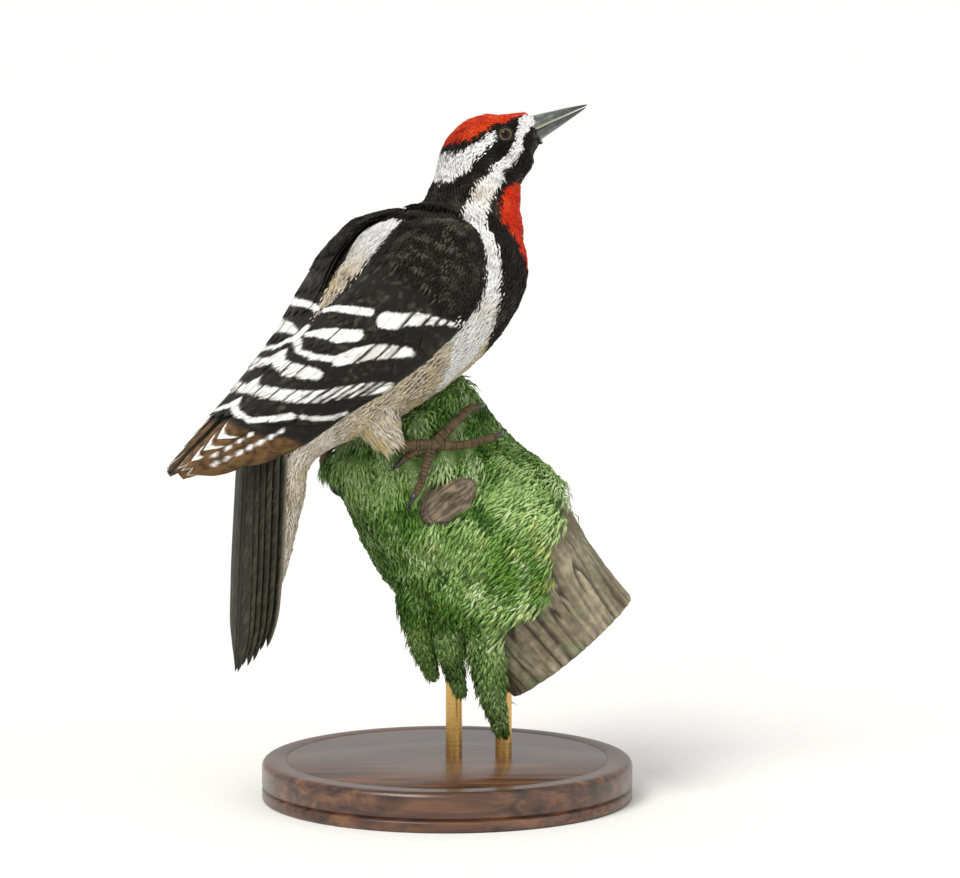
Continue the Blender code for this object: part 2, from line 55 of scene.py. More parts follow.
# centre, heading, then the radii towards the back, the belly and the side
SPINE = (
    (-58.0, -41.5, 62.0, 35, 0.8, 1.5, 3.0), (-56.0, -40.2, 71.0, 35, 5.0, 6.5, 8.5),
    (-54.5, -39.1, 80.0, 35, 6.4, 8.3, 10.0), (-53.0, -38.2, 90.0, 35, 7.4, 9.3, 11.0),
    (-51.5, -37.2, 100.0, 35, 8.4, 10.0, 11.8), (-49.2, -35.8, 109.5, 35, 9.0, 10.2, 12.3),
    (-43.6, -31.9, 118.0, 35, 12.0, 12.4, 15.0), (-30.6, -22.7, 131.3, 35, 18.0, 20.0, 21.0),
    (-9.6, -8.0, 149.4, 35, 23.0, 24.5, 25.0), (2.7, 0.6, 163.8, 35, 21.0, 23.5, 24.0),
    (7.6, 4.2, 174.6, 32, 16.2, 15.4, 18.0), (9.2, 5.6, 184.2, 20, 13.8, 12.3, 14.6),
    (12.0, 6.0, 192.7, 8, 13.6, 13.2, 13.0), (19.2, 5.5, 197.6, 0, 10.3, 10.0, 10.5),
    (22.9, 5.3, 200.2, 0, 6.4, 6.8, 7.2), (26.2, 5.2, 201.3, 0, 4.6, 4.4, 4.6),
)
SPINE_END = len(SPINE) - 1.0
EYE_RADIUS = 2.1
EYE_PLACE, HEAD_MIDDLE_Y = (17.3, 8.7, 200.7), 5.4
BILL_TIP = np.array((42.0, 5.2, 208.8))
BILL_UPPER, BILL_LOWER = (4.2, 4.3), (3.8, 3.4)
WING_BACK = (
    (23.2, 17.4, 8.0), (15.1, 22.9, 9.0), (9.0, 26.1, 9.0), (-3.4, 26.5, 9.0),
    (-17.6, 24.7, 6.0), (-28.5, 23.7, 2.5), (-43.3, 24.8, 1.4), (-59.9, 26.2, 1.3),
    (-72.6, 27.8, 1.2), (-90.0, 29.3, 1.0),
)
WING_FLANK = (
    (22.6, 12.5, 20.6), (17.6, 4.4, 23.0), (8.8, -1.1, 25.0), (-3.7, -1.3, 27.0),
    (-19.9, 0.4, 26.0), (-34.8, 3.1, 23.0), (-49.8, 7.0, 18.0), (-62.9, 11.5, 13.0),
    (-76.0, 17.2, 8.6), (-91.0, 26.0, 4.0),
)
WING_SQUARENESS = 0.85
TAIL_ROOT, TAIL_TIP = np.array((-58.6, -42.0, 110.0)), np.array((-61.6, -44.4, 45.4))
TAIL_HALF_WIDTH, TAIL_DROP = (13.6, 12.6, 10.0), 5.0
PERCH_Y = 2.0
PERCH_AXIS = ((-15.5, 112.5, 26.0), (-1.0, 91.0, 28.0), (16.5, 72.0, 29.0), (38.0, 46.0, 26.5))
MOSS_DEPTH, MOSS_CAP, BARK_CAP, MOSS_HEM = 3.6, 7.0, 4.5, 2.35
KNOT, KNOT_SIZE, KNOT_LIFT = (0.98, 6.0), (9.6, 6.6, 5.0), -4.2
MOSS_BEARDS = (((1.55, -66.0), 27.0, 7.0), ((2.0, -58.0), 25.0, 5.5), ((2.45, -48.0), 29.0, 6.5))
BASE_RADIUS, BASE_HEIGHT = 56.0, 12.0
ROD_RADIUS, RODS, ROD_SOCKET = 2.5, ((2.0, 52.0), (17.0, 40.0)), 8.0
THIGH_RADII = (8.0, 6.2, 3.6)
TOE_RADIUS, TARSUS_RADIUS, CLAW_LENGTH, GAP = (1.6, 1.15), 1.8, 4.6, 0.3
# thigh and ankle in trunk axes; sole and toes as places on the moss
LEGS = {
    "right": dict(
        thigh=((-30.0, 0.0, 9.0), (-36.6, -7.6, 11.6), (-38.9, -12.2, 13.6)),
        ankle=(-38.4, -16.6, 14.4), lift=0.0, sole=(0.30, 16.5),
        toes=dict(
            front_outer=((0.24, 38.0), (0.22, 52.0), (0.25, 60.0)),
            front_inner=((0.50, 32.0), (0.62, 48.0), (0.68, 60.0)),
            back_outer=((0.47, 6.0), (0.60, -1.5), (0.66, -7.0)),
            hallux=((0.27, 9.0), (0.25, 3.0), (0.26, -2.0)),
        ),
    ),
    "left": dict(
        thigh=((-28.0, 0.0, -9.0), (-33.0, -5.0, -11.5), (-35.0, -9.5, -12.5)),
        ankle=(-35.5, -13.5, -13.5), lift=0.8, sole=(-0.45, -122.0),
        toes=dict(
            front_outer=((-0.44, -142.0), (-0.40, -162.0), (-0.36, -176.0)),
            front_inner=((-0.60, -126.0), (-0.72, -150.0), (-0.74, -174.0)),
            back_outer=((-0.18, -118.0), (0.06, -117.0), (0.18, -116.0)),
            hallux=((-0.26, -133.0), (-0.08, -142.0), (0.05, -146.0)),
        ),
    ),
}


def unit(v):
    return v / np.maximum(np.linalg.norm(v, axis=-1, keepdims=True), 1e-9)


def stacked(*axes):
    """Places from their axes, which may be numbers or arrays that spread to one shape."""
    return np.stack(np.broadcast_arrays(*axes), -1)


def circle(count):
    return 2 * math.pi * np.arange(count) / count


def axes_of_trunk():
    ch, sh, cp, sp = math.cos(HEADING), math.sin(HEADING), math.cos(PITCH), math.sin(PITCH)
    return np.array(((cp * ch, cp * sh, sp), (-sp * ch, -sp * sh, cp), (sh, -ch, 0.0)))


AXES = axes_of_trunk()


def from_trunk(point):
    return TRUNK_CENTRE + np.asarray(point, float) @ AXES


def along(rows, u):
    """Smooth curve through rows (Catmull-Rom) at the places u, counted in rows."""
    rows = np.asarray(rows, float)
    u = np.clip(np.asarray(u, float), 0.0, len(rows) - 1.0)
    i = np.minimum(u.astype(int), len(rows) - 2)
    f = (u - i)[..., None]
    p1, p2 = rows[i], rows[i + 1]
    p0 = np.where((i > 0)[..., None], rows[np.maximum(i - 1, 0)], 2 * p1 - p2)
    p3 = np.where((i + 2 < len(rows))[..., None], rows[np.minimum(i + 2, len(rows) - 1)], 2 * p2 - p1)
    return 0.5 * (2 * p1 + (p2 - p0) * f + (2 * p0 - 5 * p1 + 4 * p2 - p3) * f**2
                  + (3 * p1 - p0 - 3 * p2 + p3) * f**3)


def spine(u):
    """Centre, forward, right, dorsal and radii."""
    row = along(SPINE, u)
    forward = unit(along(SPINE, u + 0.05)[..., :3] - along(SPINE, u - 0.05)[..., :3])
    heading = np.radians(row[..., 3])
    right = stacked(np.sin(heading), -np.cos(heading), 0.0)
    right = unit(right - forward * (right * forward).sum(-1, keepdims=True))
    return row[..., :3], forward, right, np.cross(right, forward), row[..., 4:7]


def body_point(u, angle, lift=0.0):
    """angle runs from the back (0) over the right side (90 degrees) to the belly, in radians."""
    centre, _, right, dorsal, radii = spine(u)
    cos, sin = np.cos(angle), np.sin(angle)
    up = np.where(cos > 0, radii[..., 0], radii[..., 1]) + lift
    return centre + dorsal * (up * cos)[..., None] + right * ((radii[..., 2] + lift) * sin)[..., None]


def coat_point(u, angle):
    return body_point(u, angle, mantle(u, angle))


def body_frame(u, angle):
    """Place, normal and the lie of the coat."""
    du = coat_point(u + 0.12, angle) - coat_point(u - 0.12, angle)
    da = coat_point(u, angle + 0.03) - coat_point(u, angle - 0.03)
    _, forward, right, dorsal, _ = spine(u)
    radial = unit(dorsal * np.cos(angle)[..., None] + right * np.sin(angle)[..., None])
    normal = unit(np.cross(da, du))
    folded = ((normal * radial).sum(-1) < 0.35)[..., None]
    normal = np.where(folded, radial, normal)
    lie = np.where(folded, -forward, -unit(du))
    return coat_point(u, angle), normal, unit(lie - normal * (lie * normal).sum(-1, keepdims=True))


def wing_point(u, v, side):
    back, flank = along(WING_BACK, u), along(WING_FLANK, u)
    over, down = back.copy(), flank.copy()
    over[..., 2] += WING_SQUARENESS * (flank[..., 2] - back[..., 2])
    down[..., 1] += WING_SQUARENESS * (back[..., 1] - flank[..., 1])
    v = np.asarray(v, float)[..., None]
    w = 1 - v
    point = w**3 * back + 3 * w * w * v * over + 3 * w * v * v * down + v**3 * flank
    return from_trunk(point * (1.0, 1.0, side))


def wing_frame(u, v, side):
    """Place, normal and the direction towards the wing tip."""
    du = wing_point(np.minimum(u + 0.1, 9), v, side) - wing_point(np.maximum(u - 0.1, 0), v, side)
    dv = wing_point(u, v + 0.02, side) - wing_point(u, v - 0.02, side)
    return wing_point(u, v, side), unit(np.cross(du, dv)) * side, unit(du)


def measure_wing():
    """Length along the wing and width across it, as tables over u."""
    u = np.linspace(0, 9, 91)
    middle = wing_point(u, np.full(91, 0.5), 1)
    length = np.concatenate(([0], np.cumsum(np.linalg.norm(np.diff(middle, axis=0), axis=1))))
    v = np.linspace(0, 1, 21)
    sheet = wing_point(np.repeat(u[:, None], 21, 1), np.repeat(v[None], 91, 0), 1)
    return u, length, np.linalg.norm(np.diff(sheet, axis=1), axis=2).sum(1)


WING_U, WING_LENGTH, WING_WIDTH = measure_wing()


def wing_plane(u, v):
    """(u, v) flattened to millimetres."""
    width = np.interp(u, WING_U, WING_WIDTH)
    return stacked(np.interp(u, WING_U, WING_LENGTH), (v - 0.5) * width)


def ripple(t, angle):
    return 0.03 * np.sin(2 * angle + 3.1 * t) + 0.018 * np.sin(5 * angle - 4.0 * t + 1.0)


def perch_point(t, degrees, lift=0.0, cap=None):
    """A place over the moss; from t = 0 to -1 it climbs the domed end."""
    t, degrees = np.broadcast_arrays(np.asarray(t, float), np.asarray(degrees, float))
    held = np.maximum(t, 0.0)
    row = along(PERCH_AXIS, held)
    slope = along(PERCH_AXIS, held + 0.02) - along(PERCH_AXIS, held - 0.02)
    down = unit(stacked(slope[..., 0], 0.0, slope[..., 1]))
    side = stacked(-down[..., 2], 0.0, down[..., 0])
    centre = stacked(row[..., 0], PERCH_Y, row[..., 1])
    angle = np.radians(degrees)
    climb = math.pi / 2 * np.clip(-t, 0, 1)
    reach = (row[..., 2] * (1 + ripple(t, angle)) + lift) * np.cos(climb)
    rise = ((MOSS_CAP + lift) if cap is None else cap) * np.sin(climb)
    outward = np.cos(angle)[..., None] * np.array((0.0, -1.0, 0.0)) + np.sin(angle)[..., None] * side
    return centre + reach[..., None] * outward - np.asarray(rise)[..., None] * down


def perch_frame(t, degrees):
    """Place, normal and the direction down the perch."""
    dt = perch_point(t + 0.02, degrees) - perch_point(t - 0.02, degrees)
    da = perch_point(t, degrees + 1.0) - perch_point(t, degrees - 1.0)
    point = perch_point(t, degrees)
    middle = perch_point(t, degrees, -15.0, MOSS_CAP - 15.0)
    normal = unit(np.cross(dt, da))
    flip = ((normal * (point - middle)).sum(-1) < 0)[..., None]
    return point, np.where(flip, -normal, normal), unit(dt)


def moss_hem(angle):
    return MOSS_HEM + 0.11 * np.sin(3 * angle + 0.6) + 0.08 * np.sin(7 * angle) - 0.42 * np.sin(angle)


# ---------------------------------------------------------------- noise and colour


def noise(points, scale, seed=0):
    """Smooth random values from 0 to 1 in space; scale is the size of a cell in millimetres."""
    p = np.asarray(points, float) / scale + 100.0 + 17.3 * seed
    cell = np.floor(p).astype(np.int64)
    f = p - cell
    f = f * f * (3 - 2 * f)
    total = 0.0
    for corner in range(8):
        step = np.array((corner & 1, corner >> 1 & 1, corner >> 2 & 1))
        at = cell + step
        mixed = (at[..., 0] * 73856093) ^ (at[..., 1] * 19349663) ^ (at[..., 2] * 83492791)
        mixed = (mixed * 2654435761 + 12345) & 0xFFFFFFFF
        mixed = ((mixed >> 15) ^ mixed) * 2246822519 & 0xFFFFFFFF
        weight = np.prod(np.where(step, f, 1 - f), axis=-1)
        total = total + weight * ((mixed >> 8) & 0xFFFF) / 65535.0
    return total


def smooth(low, high, value):
    t = np.clip((value - low) / (high - low), 0, 1)
    return t * t * (3 - 2 * t)


def paint(red, green, blue):
    """A screen colour, 0 to 255, as linear light."""
    c = np.array((red, green, blue)) / 255.0
    return np.where(c <= 0.04045, c / 12.92, ((c + 0.055) / 1.055) ** 2.4)


RED, THROAT = paint(236, 66, 16), paint(226, 44, 4)
BLACK, SOOT = paint(24, 21, 15), paint(90, 87, 72)
WHITE, CREAM = paint(254, 253, 251), paint(232, 222, 196)
BUFF, OCHRE, DUN = paint(226, 213, 188), paint(228, 206, 136), paint(160, 142, 115)
BROWN, UMBER = paint(112, 82, 48), paint(66, 48, 30)
TAIL_BLACK, TAIL_GREY = paint(42, 42, 33), paint(76, 76, 60)


def mix(a, b, share):
    share = np.asarray(share)[..., None]
    return a * (1 - share) + b * share


# ---------------------------------------------------------------- markings


def inside(u, a, polygon):
    """Whether places lie inside a polygon."""
    found = np.zeros(np.shape(u), bool)
    for (u0, a0), (u1, a1) in zip(polygon, polygon[1:] + polygon[:1]):
        spans = (a0 > a) != (a1 > a)
        with np.errstate(divide="ignore", invalid="ignore"):
            at = u0 + (a - a0) * (u1 - u0) / (a1 - a0 if a1 != a0 else 1e-9)
        found ^= spans & (u < at)
    return found


# Patches of the head and neck as (place on the spine, degrees round from the back).
CROWN = [(14.8, -5), (14.75, 17), (14.2, 28), (13.5, 41), (13.0, 45), (12.5, 50), (12.1, 48),
         (11.88, 35), (11.74, 15), (11.7, -5)]
EYE_STRIPE = [(12.9, 56), (12.5, 57), (12.25, 59), (12.1, 58), (11.9, 50), (11.69, 33), (11.6, 5),
              (11.6, -5), (10.8, -5), (10.85, 8), (10.95, 22), (11.23, 45), (11.5, 60),
              (11.95, 72), (12.25, 76), (12.5, 73), (12.85, 69)]
CHEEK_STRIPE = [(15.1, -5), (14.85, -5), (14.75, 15), (14.2, 38), (13.95, 62), (13.6, 85),
                (13.0, 96), (12.4, 100), (11.8, 92), (11.4, 76), (10.88, 61), (10.5, 50),
                (10.0, 40), (9.6, 46), (9.1, 56), (8.6, 60), (8.0, 60), (7.5, 150), (8.25, 125),
                (8.5, 110), (8.8, 97), (9.0, 90), (9.1, 83), (9.5, 75), (9.65, 69), (9.85, 66),
                (10.25, 70), (10.6, 80), (11.0, 91), (11.3, 98), (12.0, 115), (12.5, 117),
                (13.0, 118), (13.5, 113), (14.0, 98), (14.5, 82), (15.1, 62)]
THROAT_PATCH = [(12.55, 185), (12.5, 158), (12.1, 138), (11.5, 122), (11.2, 112), (10.85, 101),
                (10.4, 87), (10.15, 84), (10.0, 89), (9.85, 97), (9.7, 105), (9.5, 112),
                (9.42, 122), (9.36, 135), (9.33, 185)]
BELLY = [(9.2, 60), (7.2, 45), (5.6, 60), (-0.1, 70), (-0.1, 185), (8.0, 185), (8.12, 150),
         (8.25, 125), (8.5, 110), (8.8, 97), (9.0, 90)]
BACK_PATCH = [(8.78, -5), (8.74, 4), (8.55, 12), (8.25, 16), (7.95, 15), (7.6, 12),
              (7.3, 9), (7.0, 6), (6.75, 2), (6.7, -5)]


def body_tint(u, angle, place):
    """Colour of the body's coat; angle in radians, place for the noise."""
    a = from_back(angle)
    fine, broad = noise(place, 1.1, 1), noise(place, 7.0, 2)
    streak = noise(place * (1.0, 1.0, 0.45), 2.2, 3)
    u_f, a_f = u + 0.04 * (fine - 0.5), a + 1.6 * (streak - 0.5)
    tint = mix(BLACK, SOOT, 0.5 * smooth(0.5, 0.95, streak) * smooth(0.25, 0.7, broad))
    white = mix(WHITE, CREAM, 0.35 * smooth(0.5, 0.9, broad))
    buff = mix(BUFF, DUN, smooth(0.45, 0.85, streak) * 0.55)
    buff = mix(buff, OCHRE, 0.6 * smooth(0.60, 0.78, noise(place * (1, 1, 0.6), 2.6, 5)))
    belly = mix(white, buff, smooth(9.3, 7.9, u))

    def lay(patch, colour):
        return np.where(inside(u_f, a_f, patch)[..., None], colour, tint)

    tint = lay(BELLY, belly)
    vent = mix(mix(BUFF, DUN, 0.4), WHITE, 0.35 * smooth(0.3, 0.7, streak))
    tint = np.where(((u < 6.3) & (a > 62))[..., None], vent, tint)
    tint = lay(BACK_PATCH, mix(white, mix(buff, DUN, 0.3), 0.9 * smooth(8.1, 7.5, u)))
    smear = np.exp(-(((u - 10.75) / 0.28) ** 2) - ((a - 66) / 13) ** 2)
    tint = lay(CHEEK_STRIPE, mix(white, mix(CREAM, DUN, streak), 0.7 * smear))
    tint = lay(EYE_STRIPE, white)
    red = mix(RED, paint(240, 92, 40), 0.75 * smooth(0.45, 0.9, streak))
    tint = lay(CROWN, mix(red, paint(150, 22, 8), 0.5 * smooth(0.55, 0.1, streak)))
    return lay(THROAT_PATCH, mix(THROAT, paint(236, 84, 30), 0.55 * smooth(0.5, 0.9, streak)))


# White marks of the wing as (u, v, half width) lines, each with its dark gaps, as shares of its
# length.
WING_BARS = (
    (((4.46, -0.03, 1.3), (4.4, 0.05, 1.4), (4.3, 0.23, 1.5), (4.1, 0.42, 1.3)), ()),
    (((4.02, 0.58, 2.5), (3.88, 0.66, 2.4), (3.7, 0.72, 1.7), (3.55, 0.78, 1.7), (3.4, 0.84, 1.2),
      (3.2, 0.92, 0.5), (3.05, 0.98, 0.6)), (0.36, 0.62, 0.76, 0.86)),
    (((5.28, 0.04, 1.2), (5.15, 0.16, 2.2), (5.0, 0.34, 2.6), (4.68, 0.49, 1.9)), (0.5,)),
    (((5.1, -0.05, 1.1), (5.45, -0.03, 1.1), (5.72, 0.12, 1.0), (5.66, 0.32, 1.0),
      (5.33, 0.53, 1.0)), ()),
    (((5.3, 0.55, 1.9), (5.0, 0.62, 2.3), (4.65, 0.7, 2.1), (4.35, 0.8, 1.7), (4.05, 0.9, 1.0)),
     (0.42, 0.66, 0.82)),
    (((5.8, -0.05, 1.2), (6.1, 0.03, 1.5), (6.14, 0.22, 2.3), (5.95, 0.42, 2.2),
      (5.76, 0.55, 1.5)), (0.45, 0.7)),
    (((6.5, -0.08, 1.3), (6.78, 0.0, 1.6), (6.72, 0.25, 2.0), (6.5, 0.5, 1.9), (6.15, 0.68, 1.8),
      (5.8, 0.78, 1.7), (5.42, 0.85, 1.6), (5.1, 0.92, 1.5), (4.8, 0.98, 1.1)),
     (0.17, 0.30, 0.41, 0.51, 0.60, 0.68, 0.76, 0.83, 0.89, 0.94)),
    (((7.0, -0.08, 1.0), (7.3, 0.02, 1.1), (7.46, 0.2, 1.2), (7.34, 0.5, 0.9), (6.92, 0.68, 0.9),
      (6.58, 0.77, 0.9)), ()),
    (((6.45, 0.82, 0.5), (6.25, 0.9, 0.6), (6.0, 0.96, 0.6), (5.7, 0.99, 0.5)), ()),
)
GAP_HALF = 0.36
BROWN_START = ((0.0, 0.1, 0.45, 0.8, 1.0), (7.9, 7.75, 7.7, 7.35, 6.85))
# v, first u, last u, step, half length and half width of the primaries' spots
SPOT_ROWS = ((0.70, 7.5, 8.5, 0.27, 1.05, 0.62), (0.86, 6.95, 8.6, 0.24, 1.1, 0.5))


def wing_white(u, v):
    """How white a place on the wing is, from 0 to 1, along its bars."""
    here = wing_plane(u, v)
    width = np.interp(u, WING_U, WING_WIDTH)
    fray = 0.35 * (noise(stacked(here[..., 0] * 0.5, here[..., 1] * 2.2, 0.0), 1.0, 8) - 0.5)
    best = np.full(np.shape(u), -9.0)
    for bar, gaps in WING_BARS:
        bar = np.array(bar)
        knots = wing_plane(bar[:, 0], bar[:, 1])
        reach = np.concatenate(([0], np.cumsum(np.linalg.norm(np.diff(knots, axis=0), axis=1))))
        for i in range(len(bar) - 1):
            way = knots[i + 1] - knots[i]
            size = np.linalg.norm(way)
            t = np.clip(((here - knots[i]) * way).sum(-1) / size**2, 0, 1)
            off = here - knots[i] - way * t[..., None]
            depth = bar[i, 2] + (bar[i + 1, 2] - bar[i, 2]) * t - np.linalg.norm(off, axis=-1)
            for gap in np.interp(np.array(gaps) * reach[-1], reach, bar[:, 1]):
                depth = np.minimum(depth, np.abs(v - gap) * width - GAP_HALF)
            best = np.maximum(best, depth)
    for v_row, first, last, step, long, wide in SPOT_ROWS:
        for u_spot in np.arange(first, last, step):
            off = (here - wing_plane(u_spot, v_row)) / (long, wide)
            best = np.maximum(best, (1 - np.linalg.norm(off, axis=-1)) * wide)
    return smooth(-0.16, 0.16, best + fray)


def wing_tint(u, v, place):
    streak = noise(place, 1.3, 4)
    broad = noise(place, 6.0, 6)
    dark = mix(BLACK, SOOT, 0.7 * smooth(0.5, 0.95, streak) * smooth(0.3, 0.8, broad))
    brown = mix(BROWN, UMBER, smooth(0.35, 0.75, streak))
    wood = smooth(-0.12, 0.12, u - np.interp(v, *BROWN_START))
    ground = mix(dark, brown, wood)
    return mix(ground, mix(WHITE, CREAM, 0.3 * broad), wing_white(u, v))


# ---------------------------------------------------------------- meshes


class Piece:
    """Closed tubes of rings gathered into one mesh, with a tint and bake and grain maps."""

    def __init__(self, name):
        self.name, self.size = name, 0
        self.verts, self.tints, self.loops, self.totals, self.maps, self.grains = [], [], [], [], [], []

    def add(self, rings, tip, root, tint, bake, grain=(1.0, 1.0)):
        """rings (tubes, rows, sides, 3); tip and root (tubes, 3) or no root for 3 sides; tint as
        (tubes, rows * sides + ends, 3); bake(share round, share along) gives the OFBake place."""
        count, rows, sides = rings.shape[:3]
        flat = [rings.reshape(count, rows * sides, 3), tip[:, None]]
        if root is not None:
            flat.append(root[:, None])
        verts = np.concatenate(flat, axis=1)
        index = np.arange(rows * sides).reshape(rows, sides)
        k, r = np.meshgrid(np.arange(sides), np.arange(rows - 1))
        k, r, n = k.ravel(), r.ravel(), (k.ravel() + 1) % sides
        quads = stacked(index[r, k], index[r, n], index[r + 1, n], index[r + 1, k])
        quad_at = stacked(stacked(k, k + 1, k + 1, k), stacked(r, r, r + 1, r + 1))
        k = np.arange(sides)
        n, end = (k + 1) % sides, np.full(sides, rows * sides)
        tris = [stacked(index[-1, k], index[-1, n], end)]
        tri_at = [stacked(stacked(k, k + 1, k + 0.5), (rows - 1, rows - 1, rows))]
        if root is not None:
            tris.append(stacked(index[0, n], index[0, k], end + 1))
            tri_at.append(stacked(stacked(k + 1, k, k + 0.5), (0, 0, -0.5)))
        else:
            tris.append(index[0, ::-1][None])
            tri_at.append(np.array(((2.0, 0), (1, 0), (0, 0)))[None])
        tris, tri_at = np.concatenate(tris), np.concatenate(tri_at).astype(float)
        fan = np.concatenate((quads[:, (0, 1, 2)], quads[:, (0, 2, 3)], tris))
        local = verts - verts.mean(1, keepdims=True)
        a, b, c = (local[:, fan[:, i]] for i in range(3))
        inward = (a * np.cross(b, c)).sum((1, 2)) < 0
        offset = (self.size + np.arange(count) * verts.shape[1])[:, None, None]
        for faces, at in ((quads, quad_at.astype(float)), (tris, tri_at)):
            faces = np.repeat(faces[None], count, 0) + offset
            at = np.repeat(at[None], count, 0)
            faces = np.where(inward[:, None, None], faces[..., ::-1], faces)
            at = np.where(inward[:, None, None, None], at[..., ::-1, :], at)
            self.loops.append(faces.ravel())
            self.totals.append(np.full(faces.shape[0] * faces.shape[1], faces.shape[2]))
            share = at / (sides, rows)
            self.maps.append(bake(share[..., 0], share[..., 1]).reshape(-1, 2))
            self.grains.append((share * grain).reshape(-1, 2))
        self.verts.append(verts.reshape(-1, 3))
        self.tints.append(np.broadcast_to(tint, (*verts.shape[:2], 3)).reshape(-1, 3))
        self.size += verts.shape[0] * verts.shape[1]

    def tube(self, rings, tint, bake, tip=None, root=None, ends=None, grain=(1.0, 1.0)):
        """One tube; its ends lie in the middle of its last and first rings unless they are given."""
        tint = np.broadcast_to(tint, rings.shape)
        tip = rings[-1].mean(0) if tip is None else tip
        root = rings[0].mean(0) if root is None else root
        ends = (tint[-1, 0], tint[0, 0]) if ends is None else ends
        self.add(rings[None], tip[None], root[None], np.concatenate((tint.reshape(-1, 3), ends))[None],
                 bake, grain)

    def build(self, finish, smoothed=True, replaces=()):
        verts = np.concatenate(self.verts) * MM
        loops = np.concatenate(self.loops).astype(np.int32)
        totals = np.concatenate(self.totals)
        mesh = bpy.data.meshes.new(self.name)
        mesh.vertices.add(len(verts))
        mesh.vertices.foreach_set("co", verts.astype(np.float32).ravel())
        mesh.loops.add(len(loops))
        mesh.loops.foreach_set("vertex_index", loops)
        mesh.polygons.add(len(totals))
        starts = np.concatenate(([0], np.cumsum(totals)[:-1])).astype(np.int32)
        mesh.polygons.foreach_set("loop_start", starts)
        mesh.update(calc_edges=True)
        for name, maps in (("OFBake", self.maps), ("grain", self.grains)):
            layer = mesh.uv_layers.new(name=name)
            layer.data.foreach_set("uv", np.concatenate(maps).astype(np.float32).ravel())
        tints = np.concatenate(self.tints)
        tints = np.concatenate((np.clip(tints, 0, 1), np.ones((len(tints), 1))), 1)
        layer = mesh.color_attributes.new("tint", "FLOAT_COLOR", "POINT")
        layer.data.foreach_set("color", tints.astype(np.float32).ravel())
        if smoothed:
            mesh.shade_smooth()
        mesh.materials.append(finish)
        obj = bpy.data.objects.new(self.name, mesh)
        bpy.context.scene.collection.objects.link(obj)
        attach(obj, "root")
        if replaces:
            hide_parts(*replaces)
        return obj


def page(a, b, low=(0.02, 0.02), high=(0.98, 0.98)):
    """A place on the bake page between two corners, from its shares across and up."""
    low, high = np.array(low), np.array(high)
    return low + (high - low) * stacked(a, b)


def whole_map(*corners):
    """The bake map of one tube: round it across the page and along it up the page."""
    return lambda a, b: page(a, np.clip(b, 0, 1), *corners)


PATCH, CELL_EDGE = 0.003, 0.08


def patch_map(places):
    """Each tuft's bake map: a small patch at its root's place."""
    return lambda a, b: np.clip(places, 0.01, 0.99)[:, None, None] + PATCH * (stacked(a, b) - 0.5)


def atlas_map(count, low, high):
    """Each vane's bake map: a cell of its own in a grid."""
    columns = math.ceil(math.sqrt(count * 3))
    lines = math.ceil(count / columns)
    i = np.arange(count)
    across, up = (i % columns)[:, None, None], (i // columns)[:, None, None]
    return lambda a, b: page((across + CELL_EDGE + (1 - 2 * CELL_EDGE) * a) / columns,
                             (up + CELL_EDGE + (1 - 2 * CELL_EDGE) * np.clip(b, 0, 1)) / lines, low, high)


def ring_tube(path, radii, sides=24):
    """Rings round one path: (rows, sides, 3), and its end points."""
    path, radii = np.asarray(path, float), np.asarray(radii, float)
    forward = unit(np.gradient(path, axis=0))
    across = unit(np.cross(forward, (0.0, 1.0, 0.0)))
    over = np.cross(forward, across)
    angle = (circle(sides) + math.pi / sides)[:, None]
    rings = path[:, None] + radii[:, None, None] * (
        across[:, None] * np.cos(angle) + over[:, None] * np.sin(angle))
    return rings, path[-1] + forward[-1] * radii[-1] * 0.5, path[0] - forward[0] * radii[0] * 0.5


BLADE_THICKNESS = 0.35  # shares of a blade's width, and how much wider than asked a blade is
BLADE_FULLNESS = 1.3


def blades(piece, place, normal, lie, length, width, tint, bake_at, rise, sink=0.5,
           shade=(0.55, 1.0, 1.06), bend=0.0):
    """Narrow closed blades that leave the skin along the lie. Blades of one tuft share bake_at;
    rise is the height of the middle and the tip over the skin as shares of the length, and shade
    scales the colour of the root, middle and tip: painted shade at the root, where the blades lie
    under others, and painted light towards the tip."""
    across = unit(np.cross(normal, lie))
    length, width = length[:, None], width[:, None]
    start = place - normal * sink
    middle = place + length * (lie * 0.5 + normal * rise[0] + across * bend * 0.25)
    tip = place + length * (lie + normal * rise[1] + across * bend)
    rings = np.stack([
        np.stack((at + across * width * w, at - across * width * w, at - normal * width * BLADE_THICKNESS), 1)
        for at, w in ((start, 0.40), (middle, 0.5))
    ], 1)
    # painted shade at the root and painted light towards the tip of each blade
    tints = np.concatenate([np.repeat((tint * s)[:, None], n, 1) for s, n in zip(shade, (3, 3, 1))], 1)
    piece.add(rings, tip, None, tints, patch_map(bake_at))


def tufts(piece, place, normal, lie, length, width, tint, bake_at, fan=0.22, scatter=0.3, **rest):
    """Tufts of three blades that fan out from one root."""
    total = len(place)
    length = np.broadcast_to(length, total)
    across = unit(np.cross(normal, lie))
    turn = rng.normal(0, 0.35 * fan, (total, 1))
    lean = rng.uniform(0.75, 1.25, total)
    shade = 1 + rng.normal(0, 0.05, (total, 1))
    for c in (-1.0, 0.0, 1.0):
        way = unit(lie + across * (turn + fan * c + rng.normal(0, 0.05, (total, 1))))
        root = place + across * (c * scatter * length * 0.5)[:, None]
        root = root + lie * (rng.uniform(-0.15, 0.15, total) * length)[:, None]
        reach = length * (1 - 0.18 * c * c) * lean * rng.uniform(0.85, 1.12, total)
        jitter = shade * (1 + rng.normal(0, 0.06, (total, 1)))
        wide = BLADE_FULLNESS * width * rng.uniform(0.8, 1.2, total)
        blades(piece, root, normal, way, reach, wide,
               np.clip(tint * jitter, 0, 1), bake_at, bend=rng.normal(0, 0.06), **rest)


def spread(count, seed):
    """Evenly scattered pairs from 0 to 1."""
    i = np.arange(count) + 0.5 + 13 * seed
    return (i * 0.7548776662466927) % 1, (i * 0.5698402909980532) % 1


